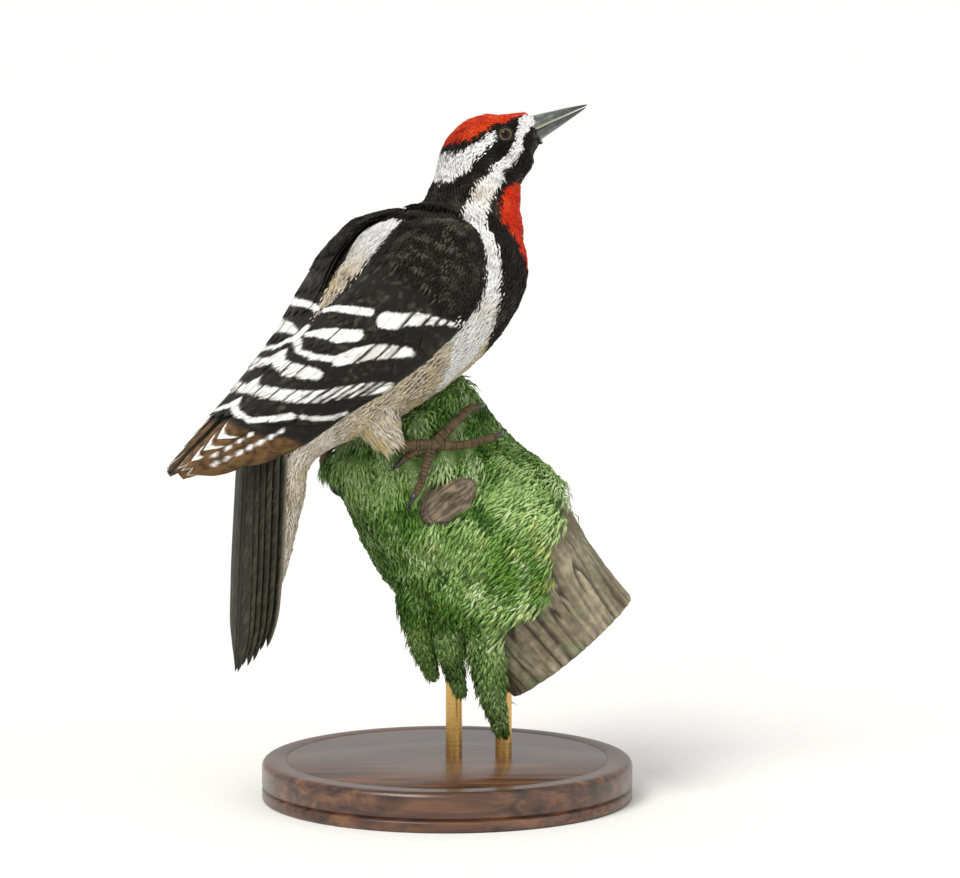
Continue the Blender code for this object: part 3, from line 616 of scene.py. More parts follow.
# ---------------------------------------------------------------- materials


def shader(name, **inputs):
    made = bpy.data.materials.new(name)
    made.use_nodes = True
    nodes, links = made.node_tree.nodes, made.node_tree.links
    out = nodes["Principled BSDF"]
    for key, value in inputs.items():
        out.inputs[key.replace("_", " ")].default_value = value
    return made, nodes, links, out


def new_node(nodes, kind, **values):
    node = nodes.new(kind)
    for key, value in values.items():
        if key in node.inputs:
            node.inputs[key].default_value = value
        else:
            setattr(node, key, value)
    return node


def ramp(nodes, links, source, stops):
    node = nodes.new("ShaderNodeValToRGB")
    links.new(source, node.inputs["Fac"])
    for i, (place, colour) in enumerate(stops):
        spot = node.color_ramp.elements[i] if i < 2 else node.color_ramp.elements.new(place)
        spot.position = place
        spot.color = (*colour, 1.0)
    return node.outputs["Color"]


def grey(value):
    return (value, value, value)


def noise_node(nodes, links, stretch=None, **values):
    """Noise over the object's own coordinates, drawn out along its axes where asked."""
    where = nodes.new("ShaderNodeTexCoord").outputs["Object"]
    if stretch:
        mapping = nodes.new("ShaderNodeMapping")
        mapping.inputs["Scale"].default_value = stretch
        links.new(where, mapping.inputs["Vector"])
        where = mapping.outputs["Vector"]
    node = new_node(nodes, "ShaderNodeTexNoise", **values)
    links.new(where, node.inputs["Vector"])
    return node.outputs["Fac"]


def roughen(nodes, links, source, out, rough):
    level = nodes.new("ShaderNodeMapRange")
    level.inputs["To Min"].default_value, level.inputs["To Max"].default_value = rough
    links.new(source, level.inputs["Value"])
    links.new(level.outputs["Result"], out.inputs["Roughness"])


def raise_bumps(nodes, links, source, out, strength, distance):
    bumps = new_node(nodes, "ShaderNodeBump", Strength=strength, Distance=distance)
    links.new(source, bumps.inputs["Height"])
    links.new(bumps.outputs["Normal"], out.inputs["Normal"])


def multiply(nodes, links, a, b):
    node = new_node(nodes, "ShaderNodeMix", data_type="RGBA", blend_type="MULTIPLY")
    node.inputs["Factor"].default_value = 1.0
    links.new(a, node.inputs["A"])
    links.new(b, node.inputs["B"])
    return node.outputs["Result"]


def tinted(name, grain=(700.0, 4.0), swing=(0.8, 1.12), barbs=None, bump=0.15, rough=(0.5, 0.7), **inputs):
    """The piece's own tint, broken up by fine noise, with barbs drawn as bump where asked."""
    made, nodes, links, out = shader(name, **inputs)
    tint = new_node(nodes, "ShaderNodeAttribute", attribute_name="tint")
    height = specks = noise_node(nodes, links, Scale=grain[0], Detail=grain[1])
    level = ramp(nodes, links, specks, ((0.3, grey(swing[0])), (0.7, grey(swing[1]))))
    if barbs:
        grain_map = new_node(nodes, "ShaderNodeUVMap", uv_map="grain")
        wave = new_node(nodes, "ShaderNodeTexWave", Scale=barbs, Distortion=1.2,
                        bands_direction="DIAGONAL")
        wave.inputs["Detail Scale"].default_value = 3.0
        links.new(grain_map.outputs["UV"], wave.inputs["Vector"])
        height = wave.outputs["Fac"]
        lines = ramp(nodes, links, height, ((0.1, grey(0.78)), (0.7, grey(1.08))))
        level = multiply(nodes, links, level, lines)
    links.new(multiply(nodes, links, tint.outputs["Color"], level), out.inputs["Base Color"])
    roughen(nodes, links, specks, out, rough)
    raise_bumps(nodes, links, height, out, bump, 0.0003)
    return made


feather = tinted("feather", swing=(0.9, 1.1), bump=0.08, Sheen_Weight=0.02, Specular_IOR_Level=0.14)
vane = tinted("vane", barbs=9.0, bump=0.35, rough=(0.42, 0.6), Sheen_Weight=0.02, Specular_IOR_Level=0.16)
horn = tinted("horn", (500.0, 6.0), (0.82, 1.1), bump=0.12, rough=(0.22, 0.38), Coat_Weight=0.25)
scale = tinted("scale", (900.0, 5.0), (0.7, 1.2), bump=0.4, rough=(0.45, 0.65), Specular_IOR_Level=0.25)
claw_horn = tinted("claw_horn", (800.0, 4.0), (0.85, 1.15), bump=0.08, rough=(0.2, 0.35), Coat_Weight=0.3)
bark = tinted("bark", (420.0, 10.0), (0.62, 1.25), bump=0.9, rough=(0.75, 0.95))
moss = tinted("moss", (600.0, 5.0), (0.75, 1.2), bump=0.3, rough=(0.6, 0.85), Specular_IOR_Level=0.2)
eye_glass = tinted("eye_glass", (1500.0, 3.0), (0.9, 1.1), bump=0.0, rough=(0.03, 0.06),
                   Specular_IOR_Level=0.22)


def turned_wood():
    made, nodes, links, out = shader("turned_wood", Coat_Weight=0.35, Coat_Roughness=0.18)
    grain = noise_node(nodes, links, (6.0, 60.0, 60.0), Scale=5.0, Detail=9.0, Distortion=0.6)
    colour = ramp(nodes, links, grain, (
        (0.32, paint(44, 26, 17)), (0.52, paint(84, 52, 33)), (0.7, paint(120, 80, 50))))
    links.new(colour, out.inputs["Base Color"])
    roughen(nodes, links, grain, out, (0.28, 0.48))
    raise_bumps(nodes, links, grain, out, 0.12, 0.0004)
    return made


def brushed_brass():
    made, nodes, links, out = shader("brushed_brass", Metallic=1.0)
    rings = noise_node(nodes, links, (40.0, 40.0, 900.0), Scale=2.0, Detail=4.0)
    links.new(ramp(nodes, links, rings, ((0.3, paint(190, 150, 84)), (0.7, paint(216, 180, 112)))),
              out.inputs["Base Color"])
    roughen(nodes, links, rings, out, (0.2, 0.36))
    return made


# ---------------------------------------------------------------- body skin and coat

SKIN_DEPTH = 1.3
EYE_OPEN = 1.55  # the opening between the lids, and how far it stands before the eye's middle
EYE_DEPTH = math.sqrt(EYE_RADIUS**2 - EYE_OPEN**2)
SKIN_ROWS, SKIN_SIDES = 420, 160
THIGH_SKIN_DEPTH = 0.6
BILL_FADE = 15.0, 13.6  # stations between which the coat grows from nothing to its full depth
BODY_PAGE = (0.02, 0.02), (0.98, 0.80)


def thigh_page(i):
    return (0.02 + 0.5 * i, 0.84), (0.48 + 0.5 * i, 0.98)


def from_back(angle):
    """Degrees round from the back, the same on both sides."""
    return np.abs(np.degrees(np.arctan2(np.sin(angle), np.cos(angle))))


def mantle(u, angle):
    """How far the coat stands over the body: on the back up to the wings' edges, on the crown
    and in the fold of the throat."""
    a = from_back(angle)
    height = np.interp(
        u, (6.0, 6.3, 6.6, 6.9, 7.2, 7.5, 7.8, 8.1, 8.4, 8.7, 9.0, 9.6, 10.1, 10.6, 11.0),
        (5.4, 3.5, 1.8, 1.1, 1.7, 2.7, 3.6, 3.9, 3.6, 2.6, 1.9, 1.9, 1.6, 0.8, 0.0))
    edge = np.interp(u, (6.0, 9.0, 9.6), (40.0, 50.0, 75.0))
    crown = np.interp(u, (12.8, 13.0, 13.25, 13.75, 14.0, 14.4, 14.8, 15.0),
                      (0, 0.7, 1.0, 1.2, 1.0, 0.6, 0.3, 0))
    throat = np.interp(
        u, (10.6, 10.9, 11.1, 11.4, 11.7, 12.0, 12.3, 12.5, 12.8, 13.0, 13.6, 14.2, 14.6, 15.0),
        (0, 0.7, 0.8, -0.1, -0.7, -0.4, 0.6, 1.2, 0.9, 0.2, 0, 0.9, 0.6, 0))
    return (height * smooth(edge, 0.42 * edge, a) * smooth(5.6, 6.1, u)
            + crown * smooth(75, 25, a) + throat * smooth(95, 135, a))


def thigh_radius(t):
    taper = np.interp(t, (0, 1.1, 1.6, 2), (1, 0.92, 0.78, 0.55))
    return along([[r] for r in THIGH_RADII], t)[..., 0] * taper - THIGH_SKIN_DEPTH


def make_skin():
    """One skin over the undertail, trunk, neck and head, and both thighs."""
    skin = Piece("bird_skin")
    u = np.linspace(0.02, SPINE_END, SKIN_ROWS)[:, None]
    u, angle = np.broadcast_arrays(u, circle(SKIN_SIDES))
    depth = SKIN_DEPTH * smooth(*BILL_FADE, u) * smooth(0.0, 1.0, u)
    rings = body_point(u, angle, mantle(u, angle) - depth)
    # The skin takes the coat's colours at 0.85: painted shade under the coat, seen where the tufts part.
    skin.tube(rings, body_tint(u, angle, rings) * 0.85, whole_map(*BODY_PAGE), ends=(BLACK, BLACK))
    for i, leg in enumerate(LEGS.values()):
        t = np.linspace(0, 2, 30)
        rings, tip, root = ring_tube(along([from_trunk(p) for p in leg["thigh"]], t), thigh_radius(t), 32)
        skin.tube(rings, mix(BUFF, DUN, 0.4), whole_map(*thigh_page(i)), tip, root)
    return skin.build(feather,
                      replaces=("head", "neck", "trunk", "thigh_right", "thigh_left"))


def wing_cover(points):
    """The distance to the nearer wing's outer face, and how far in from its edge that place is."""
    grid_u, grid_v = np.meshgrid(np.linspace(0, 9, 60), np.linspace(0, 1, 26), indexing="ij")
    best = np.full(len(points), 99.0)
    inner = np.zeros(len(points))
    for side in (1, -1):
        sheet = wing_point(grid_u, grid_v, side).reshape(-1, 3)
        depth = np.minimum(np.minimum(grid_v, 1 - grid_v) * 3.0, grid_u * 0.7).ravel()
        for start in range(0, len(points), 4000):
            part = points[start:start + 4000]
            gap = ((part[:, None] - sheet[None]) ** 2).sum(-1)
            near = gap.argmin(1)
            distance = np.sqrt(gap[np.arange(len(part)), near])
            better = distance < best[start:start + 4000]
            best[start:start + 4000] = np.where(better, distance, best[start:start + 4000])
            inner[start:start + 4000] = np.where(better, depth[near], inner[start:start + 4000])
    return best, inner


def body_roots(first, last, count, seed, density):
    """Even places on the body between two stations, left bare under the wings and at the eyes."""
    table = np.linspace(first, last, 200)
    centre, *_, radii = spine(table)
    speed = np.linalg.norm(np.gradient(centre, table, axis=0), axis=1)
    share = np.cumsum(radii.mean(-1) * speed * density(table))
    share = (share - share[0]) / (share[-1] - share[0])
    a, b = spread(count, seed)
    u = np.interp(a, share, table)
    angle = 2 * math.pi * b - math.pi
    place = coat_point(u, angle)
    distance, inner = wing_cover(place)
    keep = ~((distance < 7.0) & (inner > 0.24))
    for side in (1, -1):
        opening = eye_place(side) + eye_look(side) * EYE_DEPTH
        keep &= np.linalg.norm(place - opening, axis=1) > EYE_OPEN + 0.25
    return u[keep], angle[keep]


def eye_place(side):
    x, out, z = EYE_PLACE
    return np.array((x, HEAD_MIDDLE_Y - side * out, z))


def eye_look(side):
    return unit(np.array((0.12, -side, 0.10)))


def coat(name, first, last, count, seed, length, width, rise, fan,
         density=np.ones_like, depth=1.0, shade=(0.72, 1.0, 1.04)):
    """Tufts between two stations; each takes the colour of the place it reaches over."""
    piece = Piece(name)
    u, angle = body_roots(first, last, count, seed, density)
    place, normal, lie = body_frame(u, angle)
    place = place - normal * (depth * smooth(*BILL_FADE, u))[:, None]
    size = length(u)
    stations = size / (np.linalg.norm(spine(u + 0.05)[0] - spine(u - 0.05)[0], axis=-1) / 0.1)
    middle = body_point(np.clip(u - 0.5 * stations, 0, SPINE_END), angle)
    tint = body_tint(np.clip(u - 0.45 * stations, 0, SPINE_END), angle, middle)
    bake_at = page((angle / (2 * math.pi)) % 1, u / SPINE_END, *BODY_PAGE)
    tufts(piece, place, normal, lie, size, width, tint, bake_at, rise=rise, fan=fan, sink=0.6, shade=shade)
    return piece.build(feather, smoothed=False)


def head_length(u):
    return 1.5 + 2.1 * smooth(14.9, 12.6, u) + 1.0 * smooth(12.0, 11.0, u)


def body_length(u):
    return 4.6 + 1.6 * smooth(9.5, 8.0, u)


def rump_length(u):
    return 6.0 + 1.5 * smooth(6.0, 4.0, u)


def make_face_coat():
    """Short bristles that reach forward over the root of the bill."""
    piece = Piece("coat_face")
    a, b = spread(420, 15)
    u, angle = 14.72 + 0.26 * a, 2 * math.pi * b
    place, normal, lie = body_frame(u, angle)
    tufts(piece, place - normal * 0.3, normal, -lie, 1.5, 0.22, body_tint(u, angle, place),
          page(b, a, (0.02, 0.80), (0.98, 0.83)), rise=(0.06, 0.02), fan=0.2, shade=(0.95, 1.0, 1.03))
    return piece.build(feather, smoothed=False)


make_skin()
coat("coat_head", 11.3, 15.0, 3950, 1, head_length, 0.33, (0.08, 0.01), 0.10,
     density=lambda u: 1.0 + 1.4 * smooth(13.0, 14.6, u), depth=0.75, shade=(0.95, 1.0, 1.03))
coat("coat_neck", 8.8, 11.5, 3950, 2, lambda u: 4.6, 0.42, (0.10, 0.02), 0.11, shade=(0.92, 1.0, 1.03))
coat("coat_trunk_front", 7.7, 9.1, 3900, 3, body_length, 0.42, (0.10, 0.02), 0.11, shade=(0.9, 1.0, 1.03))
coat("coat_trunk_rear", 6.0, 7.8, 2900, 5, body_length, 0.46, (0.12, 0.03), 0.13)
coat("coat_undertail", 0.3, 6.2, 2500, 4, rump_length, 0.52, (0.11, 0.03), 0.13)
make_face_coat()


def make_thigh_coat():
    piece = Piece("coat_thighs")
    for side, leg in enumerate(LEGS.values()):
        a, b = spread(520, 20 + side)
        t, angle = 0.25 + 1.75 * a**0.8, 2 * math.pi * b
        path = [from_trunk(p) for p in leg["thigh"]]
        centre = along(path, t)
        forward = unit(along(path, t + 0.05) - along(path, t - 0.05))
        across = unit(np.cross(forward, (0.0, 1.0, 0.0)))
        normal = across * np.cos(angle)[:, None] + np.cross(forward, across) * np.sin(angle)[:, None]
        place = centre + normal * thigh_radius(t)[:, None]
        streak = noise(place, 1.4, 9)
        tint = mix(mix(BUFF, WHITE, 0.3), OCHRE, 0.8 * smooth(0.55, 0.75, streak))
        tint = mix(tint, DUN, 0.6 * smooth(0.45, 0.2, streak))
        lie = unit(forward + np.array((0.35, 0.0, -0.05)))
        lie = unit(lie - normal * (lie * normal).sum(-1, keepdims=True))
        tufts(piece, place, normal, lie, 4.0 + 1.5 * a, 0.5, tint, page(b, a, *thigh_page(side)),
              rise=(0.2, 0.14))
    return piece.build(feather, smoothed=False)


make_thigh_coat()


# ---------------------------------------------------------------- wings

TOP_COLUMNS = 17


def vane_section(keel):
    """Places across a vane from -1 to 1, over its top and back under it, and 1 where under."""
    across = np.concatenate((np.linspace(-1, 1, TOP_COLUMNS), (keel, 0.0, -keel)))
    return across, (np.arange(TOP_COLUMNS + 3) >= TOP_COLUMNS) * 1.0


def vane_rings(first_u, centre_v, half, length, rows, side, base, peak):
    """Rings of many vanes that lie on the wing, with base and peak as the heights of their ends."""
    f = np.append(np.linspace(0.0, 1.0, rows + 1)[:-1] ** 0.8, 0.985)
    taper = np.sqrt(np.clip(1 - (np.clip(f - 0.72, 0, 1) / 0.2802) ** 2, 0.02, 1))
    profile = np.minimum(1.0, 0.5 + 1.1 * f) * taper
    c, under = vane_section(0.55)
    u = first_u[:, None] + length[:, None] * f
    width = np.interp(u, WING_U, WING_WIDTH)
    v = centre_v[:, None, None] + c * (half * profile / width)[..., None]
    u = u[..., None] - 0.06 * c**2 * length[:, None, None]
    point, normal, _ = wing_frame(np.clip(u, 0, 9), v, side)
    lift = (base[:, None] + (peak - base)[:, None] * f**1.3)[..., None] - 0.25 * c**2
    lift = lift - under * 0.28 * (1 - c**2) + (1 - under) * 0.12 * np.exp(-((c / 0.07) ** 2))
    tip, tip_normal, _ = wing_frame(np.clip(first_u + length, 0, 9), centre_v, side)
    return point + normal * lift[..., None], u, v, f, c, tip + tip_normal * peak[:, None]


TIP_WHITE = mix(WHITE, CREAM, 0.2)
# Rows of vanes from the wing tip to the shoulder: how many, between which places across the wing,
# where they end at the back, in the middle and at the flank, their length, half width in
# millimetres, rings, height over the wing's face, unevenness, and where their white tips start.
WING_ROWS = (
    (3, (0.1, 1.0), (9.0, 8.95, 8.9), 2.6, 3.0, 30, 0.0, 0.02, 0.97),
    (3, (0.5, 1.05), (8.6, 8.75, 8.2), 2.6, 2.6, 30, 0.12, 0.03, None),
    (1, (0.1, 0.8), (8.72, 8.72, 8.5), 1.9, 3.0, 30, 0.22, 0.0, 0.9),
    (1, (0.1, 0.75), (8.45, 8.45, 8.2), 2.0, 3.7, 30, 0.34, 0.0, 0.9),
    (1, (0.1, 0.72), (8.14, 8.14, 8.0), 2.0, 4.4, 30, 0.46, 0.0, 0.9),
    (6, (-0.05, 0.94), (7.72, 7.5, 6.3), 2.2, 3.6, 30, 0.52, 0.03, None),
    (8, (-0.05, 0.96), (7.0, 6.7, 5.3), 2.0, 3.5, 30, 0.6, 0.03, None),
    (8, (-0.05, 0.96), (6.35, 6.1, 4.9), 1.9, 3.4, 30, 0.68, 0.03, None),
    (9, (-0.05, 0.97), (5.75, 5.35, 4.45), 1.8, 3.3, 30, 0.76, 0.03, None),
    (9, (0.04, 0.97), (4.85, 4.6, 3.75), 1.7, 3.2, 30, 0.84, 0.03, None),
    (10, (0.05, 0.97), (4.1, 3.95, 3.2), 1.3, 2.9, 26, 0.8, 0.03, None),
    (11, (0.04, 0.97), (3.5, 3.3, 2.7), 1.1, 2.6, 20, 0.7, 0.03, None),
    (11, (0.04, 0.97), (2.9, 2.7, 2.15), 1.05, 2.5, 20, 0.6, 0.03, None),
    (11, (0.04, 0.97), (2.3, 2.1, 1.65), 1.0, 2.4, 18, 0.5, 0.03, None),
    (11, (0.04, 0.97), (1.75, 1.6, 1.2), 0.95, 2.3, 18, 0.4, 0.03, None),
)


def wing_row(piece, row, side, low, high):
    """One row of overlapping vanes."""
    count, (v_first, v_last), ends, reach, half, rows, height, ragged, white_from = row
    v = v_first + (v_last - v_first) * (np.arange(count) + 0.5) / count
    end = np.interp(v, (0.0, 0.5, 1.0), ends) + rng.normal(0, ragged, count)
    length = reach * rng.uniform(0.97, 1.03, count)
    base = height - 0.75 + 0.04 * np.arange(count)[::-1] / count
    peak = height + rng.uniform(-0.05, 0.08, count)
    rings, u, v_all, f, c, tip = vane_rings(end - length, v, half, length, rows, side, base, peak)
    tint = wing_tint(u, v_all, rings)
    if white_from is None:
        rim = smooth(0.72, 1.0, np.abs(c)) + smooth(0.9, 1.0, f)[:, None]
        tint = mix(tint, SOOT, np.clip(rim, 0, 1) * 0.16)
    else:
        tint = mix(tint, TIP_WHITE, smooth(white_from, white_from + 0.03, f[:, None] + 0.05 * c**2))
    shaft = np.exp(-((c / 0.1) ** 2)) * (np.arange(len(c)) < TOP_COLUMNS)
    tint = tint * (1 - 0.35 * shaft[:, None] * (tint.mean(-1, keepdims=True) > 0.2))
    tint = tint * (1 + rng.normal(0, 0.06, (count, 1, 1, 1)))
    middle = TOP_COLUMNS // 2
    tints = np.concatenate((tint.reshape(count, -1, 3), tint[:, -1:, middle], tint[:, :1, middle]), 1)
    piece.add(rings, tip, rings[:, 0].mean(1), tints, atlas_map(count, low, high), (1.0, reach * 2.2))


def make_wing(name, side):
    piece = Piece(f"feathers_wing_{name}")
    u, v = np.meshgrid(np.linspace(0.1, 9, 110), np.linspace(0, 1, 44), indexing="ij")
    outer, normal, _ = wing_frame(u, v, side)
    thick = (1.4 - 0.8 * u / 9) * np.minimum(1, 6 * np.minimum(v, 1 - v) + 0.15)
    upper = outer - normal * 0.5
    lower = (outer - normal * (0.5 + thick)[..., None])[:, -2:0:-1]
    tints = np.concatenate((wing_tint(u, v, upper), np.broadcast_to(SOOT, lower.shape)), 1)
    piece.tube(np.concatenate((upper, lower), 1), tints, whole_map((0.01, 0.01), (0.99, 0.2)),
               ends=(BLACK, BLACK), grain=(1, 9))
    band = 0.8 / len(WING_ROWS)
    for i, row in enumerate(WING_ROWS):
        low = 0.2 + band * i
        wing_row(piece, row, side, (0.01, low + 0.002), (0.99, low + band))
    piece.build(vane, replaces=(f"wing_{name}",))

    piece = Piece(f"coat_shoulder_{name}")
    a, b = spread(1500, 30 + side)
    u, v = 2.9 * a**0.85, 0.02 + 0.97 * b
    place, normal, lie = wing_frame(u, v, side)
    scallop = smooth(0.5, 0.8, noise(place * (1.0, 1.0, 1.4), 1.9, 12))
    scallop = scallop * smooth(0.05, 0.3, v) * smooth(1.0, 0.7, v)
    tint = mix(wing_tint(u + 0.25, v, place), SOOT, 0.85 * scallop)
    tufts(piece, place + normal * 0.2, normal, lie, 3.2 + 0.5 * u, 0.45, tint, page(v, u / 9),
          rise=(0.12, 0.03), sink=0.5, fan=0.15)
    piece.build(feather, smoothed=False)


for wing_name, wing_side in (("right", 1), ("left", -1)):
    make_wing(wing_name, wing_side)


# ---------------------------------------------------------------- tail

TAIL_FEATHERS = 12


def make_tail():
    """Stiff pointed feathers under a low ridge, the middle pair on top."""
    piece = Piece("feathers_tail")
    length = np.linalg.norm(TAIL_TIP - TAIL_ROOT)
    down, right = unit(TAIL_TIP - TAIL_ROOT), AXES[2]
    out = np.cross(down, right)
    f = np.linspace(0.0, 0.99, 60)
    half = along([[w] for w in TAIL_HALF_WIDTH], 2 * f)[:, 0]
    blade = 4.3 * np.minimum(1, 0.7 + 0.5 * f) * np.clip(1 - (np.clip(f - 0.78, 0, 1) / 0.24) ** 2.2, 0.06, 1)
    c, under = vane_section(0.5)
    notch = 0.4 * np.sin(38 * c) * smooth(0.9, 1.0, f)[:, None]
    parts = []
    for i in range(TAIL_FEATHERS):
        place = (i + 0.5) / TAIL_FEATHERS * 2 - 1
        rank = abs(place)
        reach = length - 0.8 - 9.5 * rank**1.6 - 1.2 * (i % 3 == 1)
        lie = half * place * 0.86
        drop = TAIL_DROP * rank**1.6 + 1.1 * rank
        centre = TAIL_ROOT + down * (reach * f)[:, None] + right * lie[:, None] - out * (drop + 0.05)
        shaft = 0.22 * np.exp(-((c / 0.12) ** 2)) * (1 - under)
        point = (centre[:, None] + right * (c * blade[:, None])[..., None]
                 + down * (notch - 1.2 * c**2)[..., None]
                 + out * (shaft - 0.55 * c**2 - under * 0.5 * (1 - c**2))[:, None])
        tip = TAIL_ROOT + down * (reach + 0.6) + right * lie[-1] - out * drop
        barb = noise(stacked(f[:, None] * 60 + np.abs(c) * 4, c * 3, 5.0 * i), 1.0, 3)
        tint = mix(TAIL_BLACK, TAIL_GREY, 0.65 * smooth(0.45, 0.85, barb))
        tint = mix(tint, BLACK, 0.8 * np.exp(-((c / 0.13) ** 2)))
        tint = mix(tint, TAIL_GREY, 0.5 * smooth(0.8, 1.0, np.abs(c)))
        if rank > 0.9:
            tint = mix(tint, mix(BUFF, DUN, 0.7), 0.35 * smooth(0.6, 1.0, np.abs(c)))
        parts.append((point, tip, point[0].mean(0),
                      np.concatenate((tint.reshape(-1, 3), tint[-1, :1], tint[0, :1]))))
    piece.add(*(np.array(part) for part in zip(*parts)), atlas_map(TAIL_FEATHERS, (0.01, 0.01), (0.99, 0.99)),
              (1.0, 14.0))
    piece.build(vane, replaces=("tail",))


make_tail()


# ---------------------------------------------------------------- bill and eyes


def make_bill():
    face, _, side, lift, _ = (x[0] for x in spine(np.array([SPINE_END])))
    ahead = spine(np.array([SPINE_END]))[1][0]
    root = face + ahead * (1.5 * GAP - 1.6)
    forward = unit(BILL_TIP - root)
    rise = np.cross(side, forward)
    f = np.linspace(0, 1, 71)[:, None]
    thin = (1 - f) ** 0.85 * 0.955 + 0.045
    angle = math.pi * np.arange(41) / 40
    ridge = 1 + 0.05 * np.exp(-(((angle - math.pi / 2) / 0.12) ** 2)) - 0.05 * np.sin(2 * angle) ** 2
    gape = np.abs(np.cos(angle)) ** 70 * smooth(0.0, 0.1, f) * smooth(1.0, 0.75, f)
    dark, pale = paint(40, 44, 43), paint(118, 125, 120)
    for name, (half_width, height), sign in (("bill_upper", BILL_UPPER, 1), ("bill_lower", BILL_LOWER, -1)):
        piece = Piece(f"{name}_horn")
        reach = root + (BILL_TIP - root) * (f if sign > 0 else 0.97 * f)
        up = np.where(f < 0.001, lift, rise)
        rings = (reach[:, None] + side * (half_width * thin * np.cos(angle))[..., None]
                 + up[:, None] * (sign * (GAP / 2 + height * thin * np.sin(angle) * ridge))[..., None])
        lengthwise = noise(stacked(f * 6, angle * 9, 0.0), 1.0, 12)
        # The pale is streaks and blotches along the horn, with painted light over the top of the upper bill
        # and an even lift on the lower, fading towards the tip.
        streaks_and_top_light = 0.45 * smooth(0.4, 0.9, noise(rings, 1.2, 11)) + 0.4 * smooth(0.4, 0.8, lengthwise)
        streaks_and_top_light = streaks_and_top_light + (0.25 * np.sin(angle) if sign > 0 else 0.12)
        tint = mix(dark, pale, np.clip(streaks_and_top_light * smooth(1.0, 0.3, f), 0, 1))
        if sign > 0:
            tint = mix(tint, paint(196, 190, 150), 0.8 * gape)
        tint = mix(tint, dark, 0.5 * smooth(0.75, 1.0, f))
        piece.tube(rings, tint, whole_map(), tip=rings[-1].mean(0) + forward * 0.1)
        piece.build(horn, replaces=(name,))


def make_eye(name, side):
    """A dark brown eye with a round pupil, and the bare ring of its lid."""
    centre, look = eye_place(side), eye_look(side)
    over = unit(np.cross(look, (0.0, 0.0, 1.0)))
    other = np.cross(look, over)
    polar = np.linspace(0.06, math.pi - 0.06, 60)[:, None]
    angle = circle(64)
    around = over * np.cos(angle)[:, None] + other * np.sin(angle)[:, None]
    rings = centre + EYE_RADIUS * (look * np.cos(polar)[..., None] + around * np.sin(polar)[..., None])
    rays = 0.5 + 0.5 * np.sin(23 * angle) * np.sin(41 * angle + 1)
    tint = mix(paint(66, 36, 20), paint(32, 16, 10), rays)
    tint = mix(tint, paint(5, 4, 4), smooth(0.50, 0.45, polar))
    tint = mix(tint, paint(14, 10, 9), smooth(0.72, 0.8, polar))
    piece = Piece(f"eyeball_{name}")
    piece.tube(rings, tint, whole_map(), centre - look * EYE_RADIUS, centre + look * EYE_RADIUS,
               ends=(tint[0, 0] * 0.5, tint[0, 0] * 0.5))
    piece.build(eye_glass, replaces=(f"eye_{name}",))

    piece = Piece(f"eyelid_{name}")
    steps = 72
    turn = circle(steps)[:, None]
    around = over * np.cos(turn) + other * np.sin(turn)
    middle = centre + look * EYE_DEPTH + around * EYE_OPEN * (1 + 0.04 * np.cos(2 * turn))
    a = circle(12)[:, None]
    for part, (grow, thick, dark, pale) in enumerate((
            (0.05, 0.17, paint(66, 60, 44), paint(140, 130, 98)),
            (0.42, 0.5, paint(18, 17, 14), paint(40, 38, 32)))):
        for half in (0, 1):
            take = np.arange(half * steps // 2 - 1, (half + 1) * steps // 2 + 2) % steps
            hub = (middle + around * grow - look * 0.75 * grow)[take][:, None]
            ring = thick * (look * np.cos(a) * (1 - 0.3 * part) + around[take][:, None] * np.sin(a))
            rings = hub + ring * (1 + 0.10 * np.sin(turn[take] * 26)[:, None])
            low = (0.02 + 0.5 * half, 0.02 + 0.5 * part)
            piece.tube(rings, mix(dark, pale, noise(rings, 0.5, 2)),
                       whole_map(low, (low[0] + 0.46, low[1] + 0.46)))
    piece.build(feather)


make_bill()
for eye_name, eye_side in (("right", 1), ("left", -1)):
    make_eye(eye_name, eye_side)


# ---------------------------------------------------------------- feet

TOE_PATHS = []


def scuted(piece, path, radii, cell, ridge=0.13):
    """A toe or shank ringed by overlapping scutes."""
    steps = 110
    fine = along(path, np.linspace(0, len(path) - 1, steps))
    size = np.interp(np.linspace(0, 1, steps), np.linspace(0, 1, len(radii)), radii)
    length = np.concatenate(([0], np.cumsum(np.linalg.norm(np.diff(fine, axis=0), axis=1))))
    saw = (length / 1.15) % 1.0
    rings, tip, root = ring_tube(fine, size * (1 + ridge * (saw - 0.45)))
    tint = mix(paint(106, 88, 58), paint(60, 48, 32), noise(rings, 1.0, 15))
    tint = mix(paint(16, 12, 9), tint, smooth(0.0, 0.22, saw)[:, None])
    piece.tube(rings, tint, whole_map((0.02 + 0.2 * cell, 0.02), (0.2 + 0.2 * cell, 0.98)), tip, root)


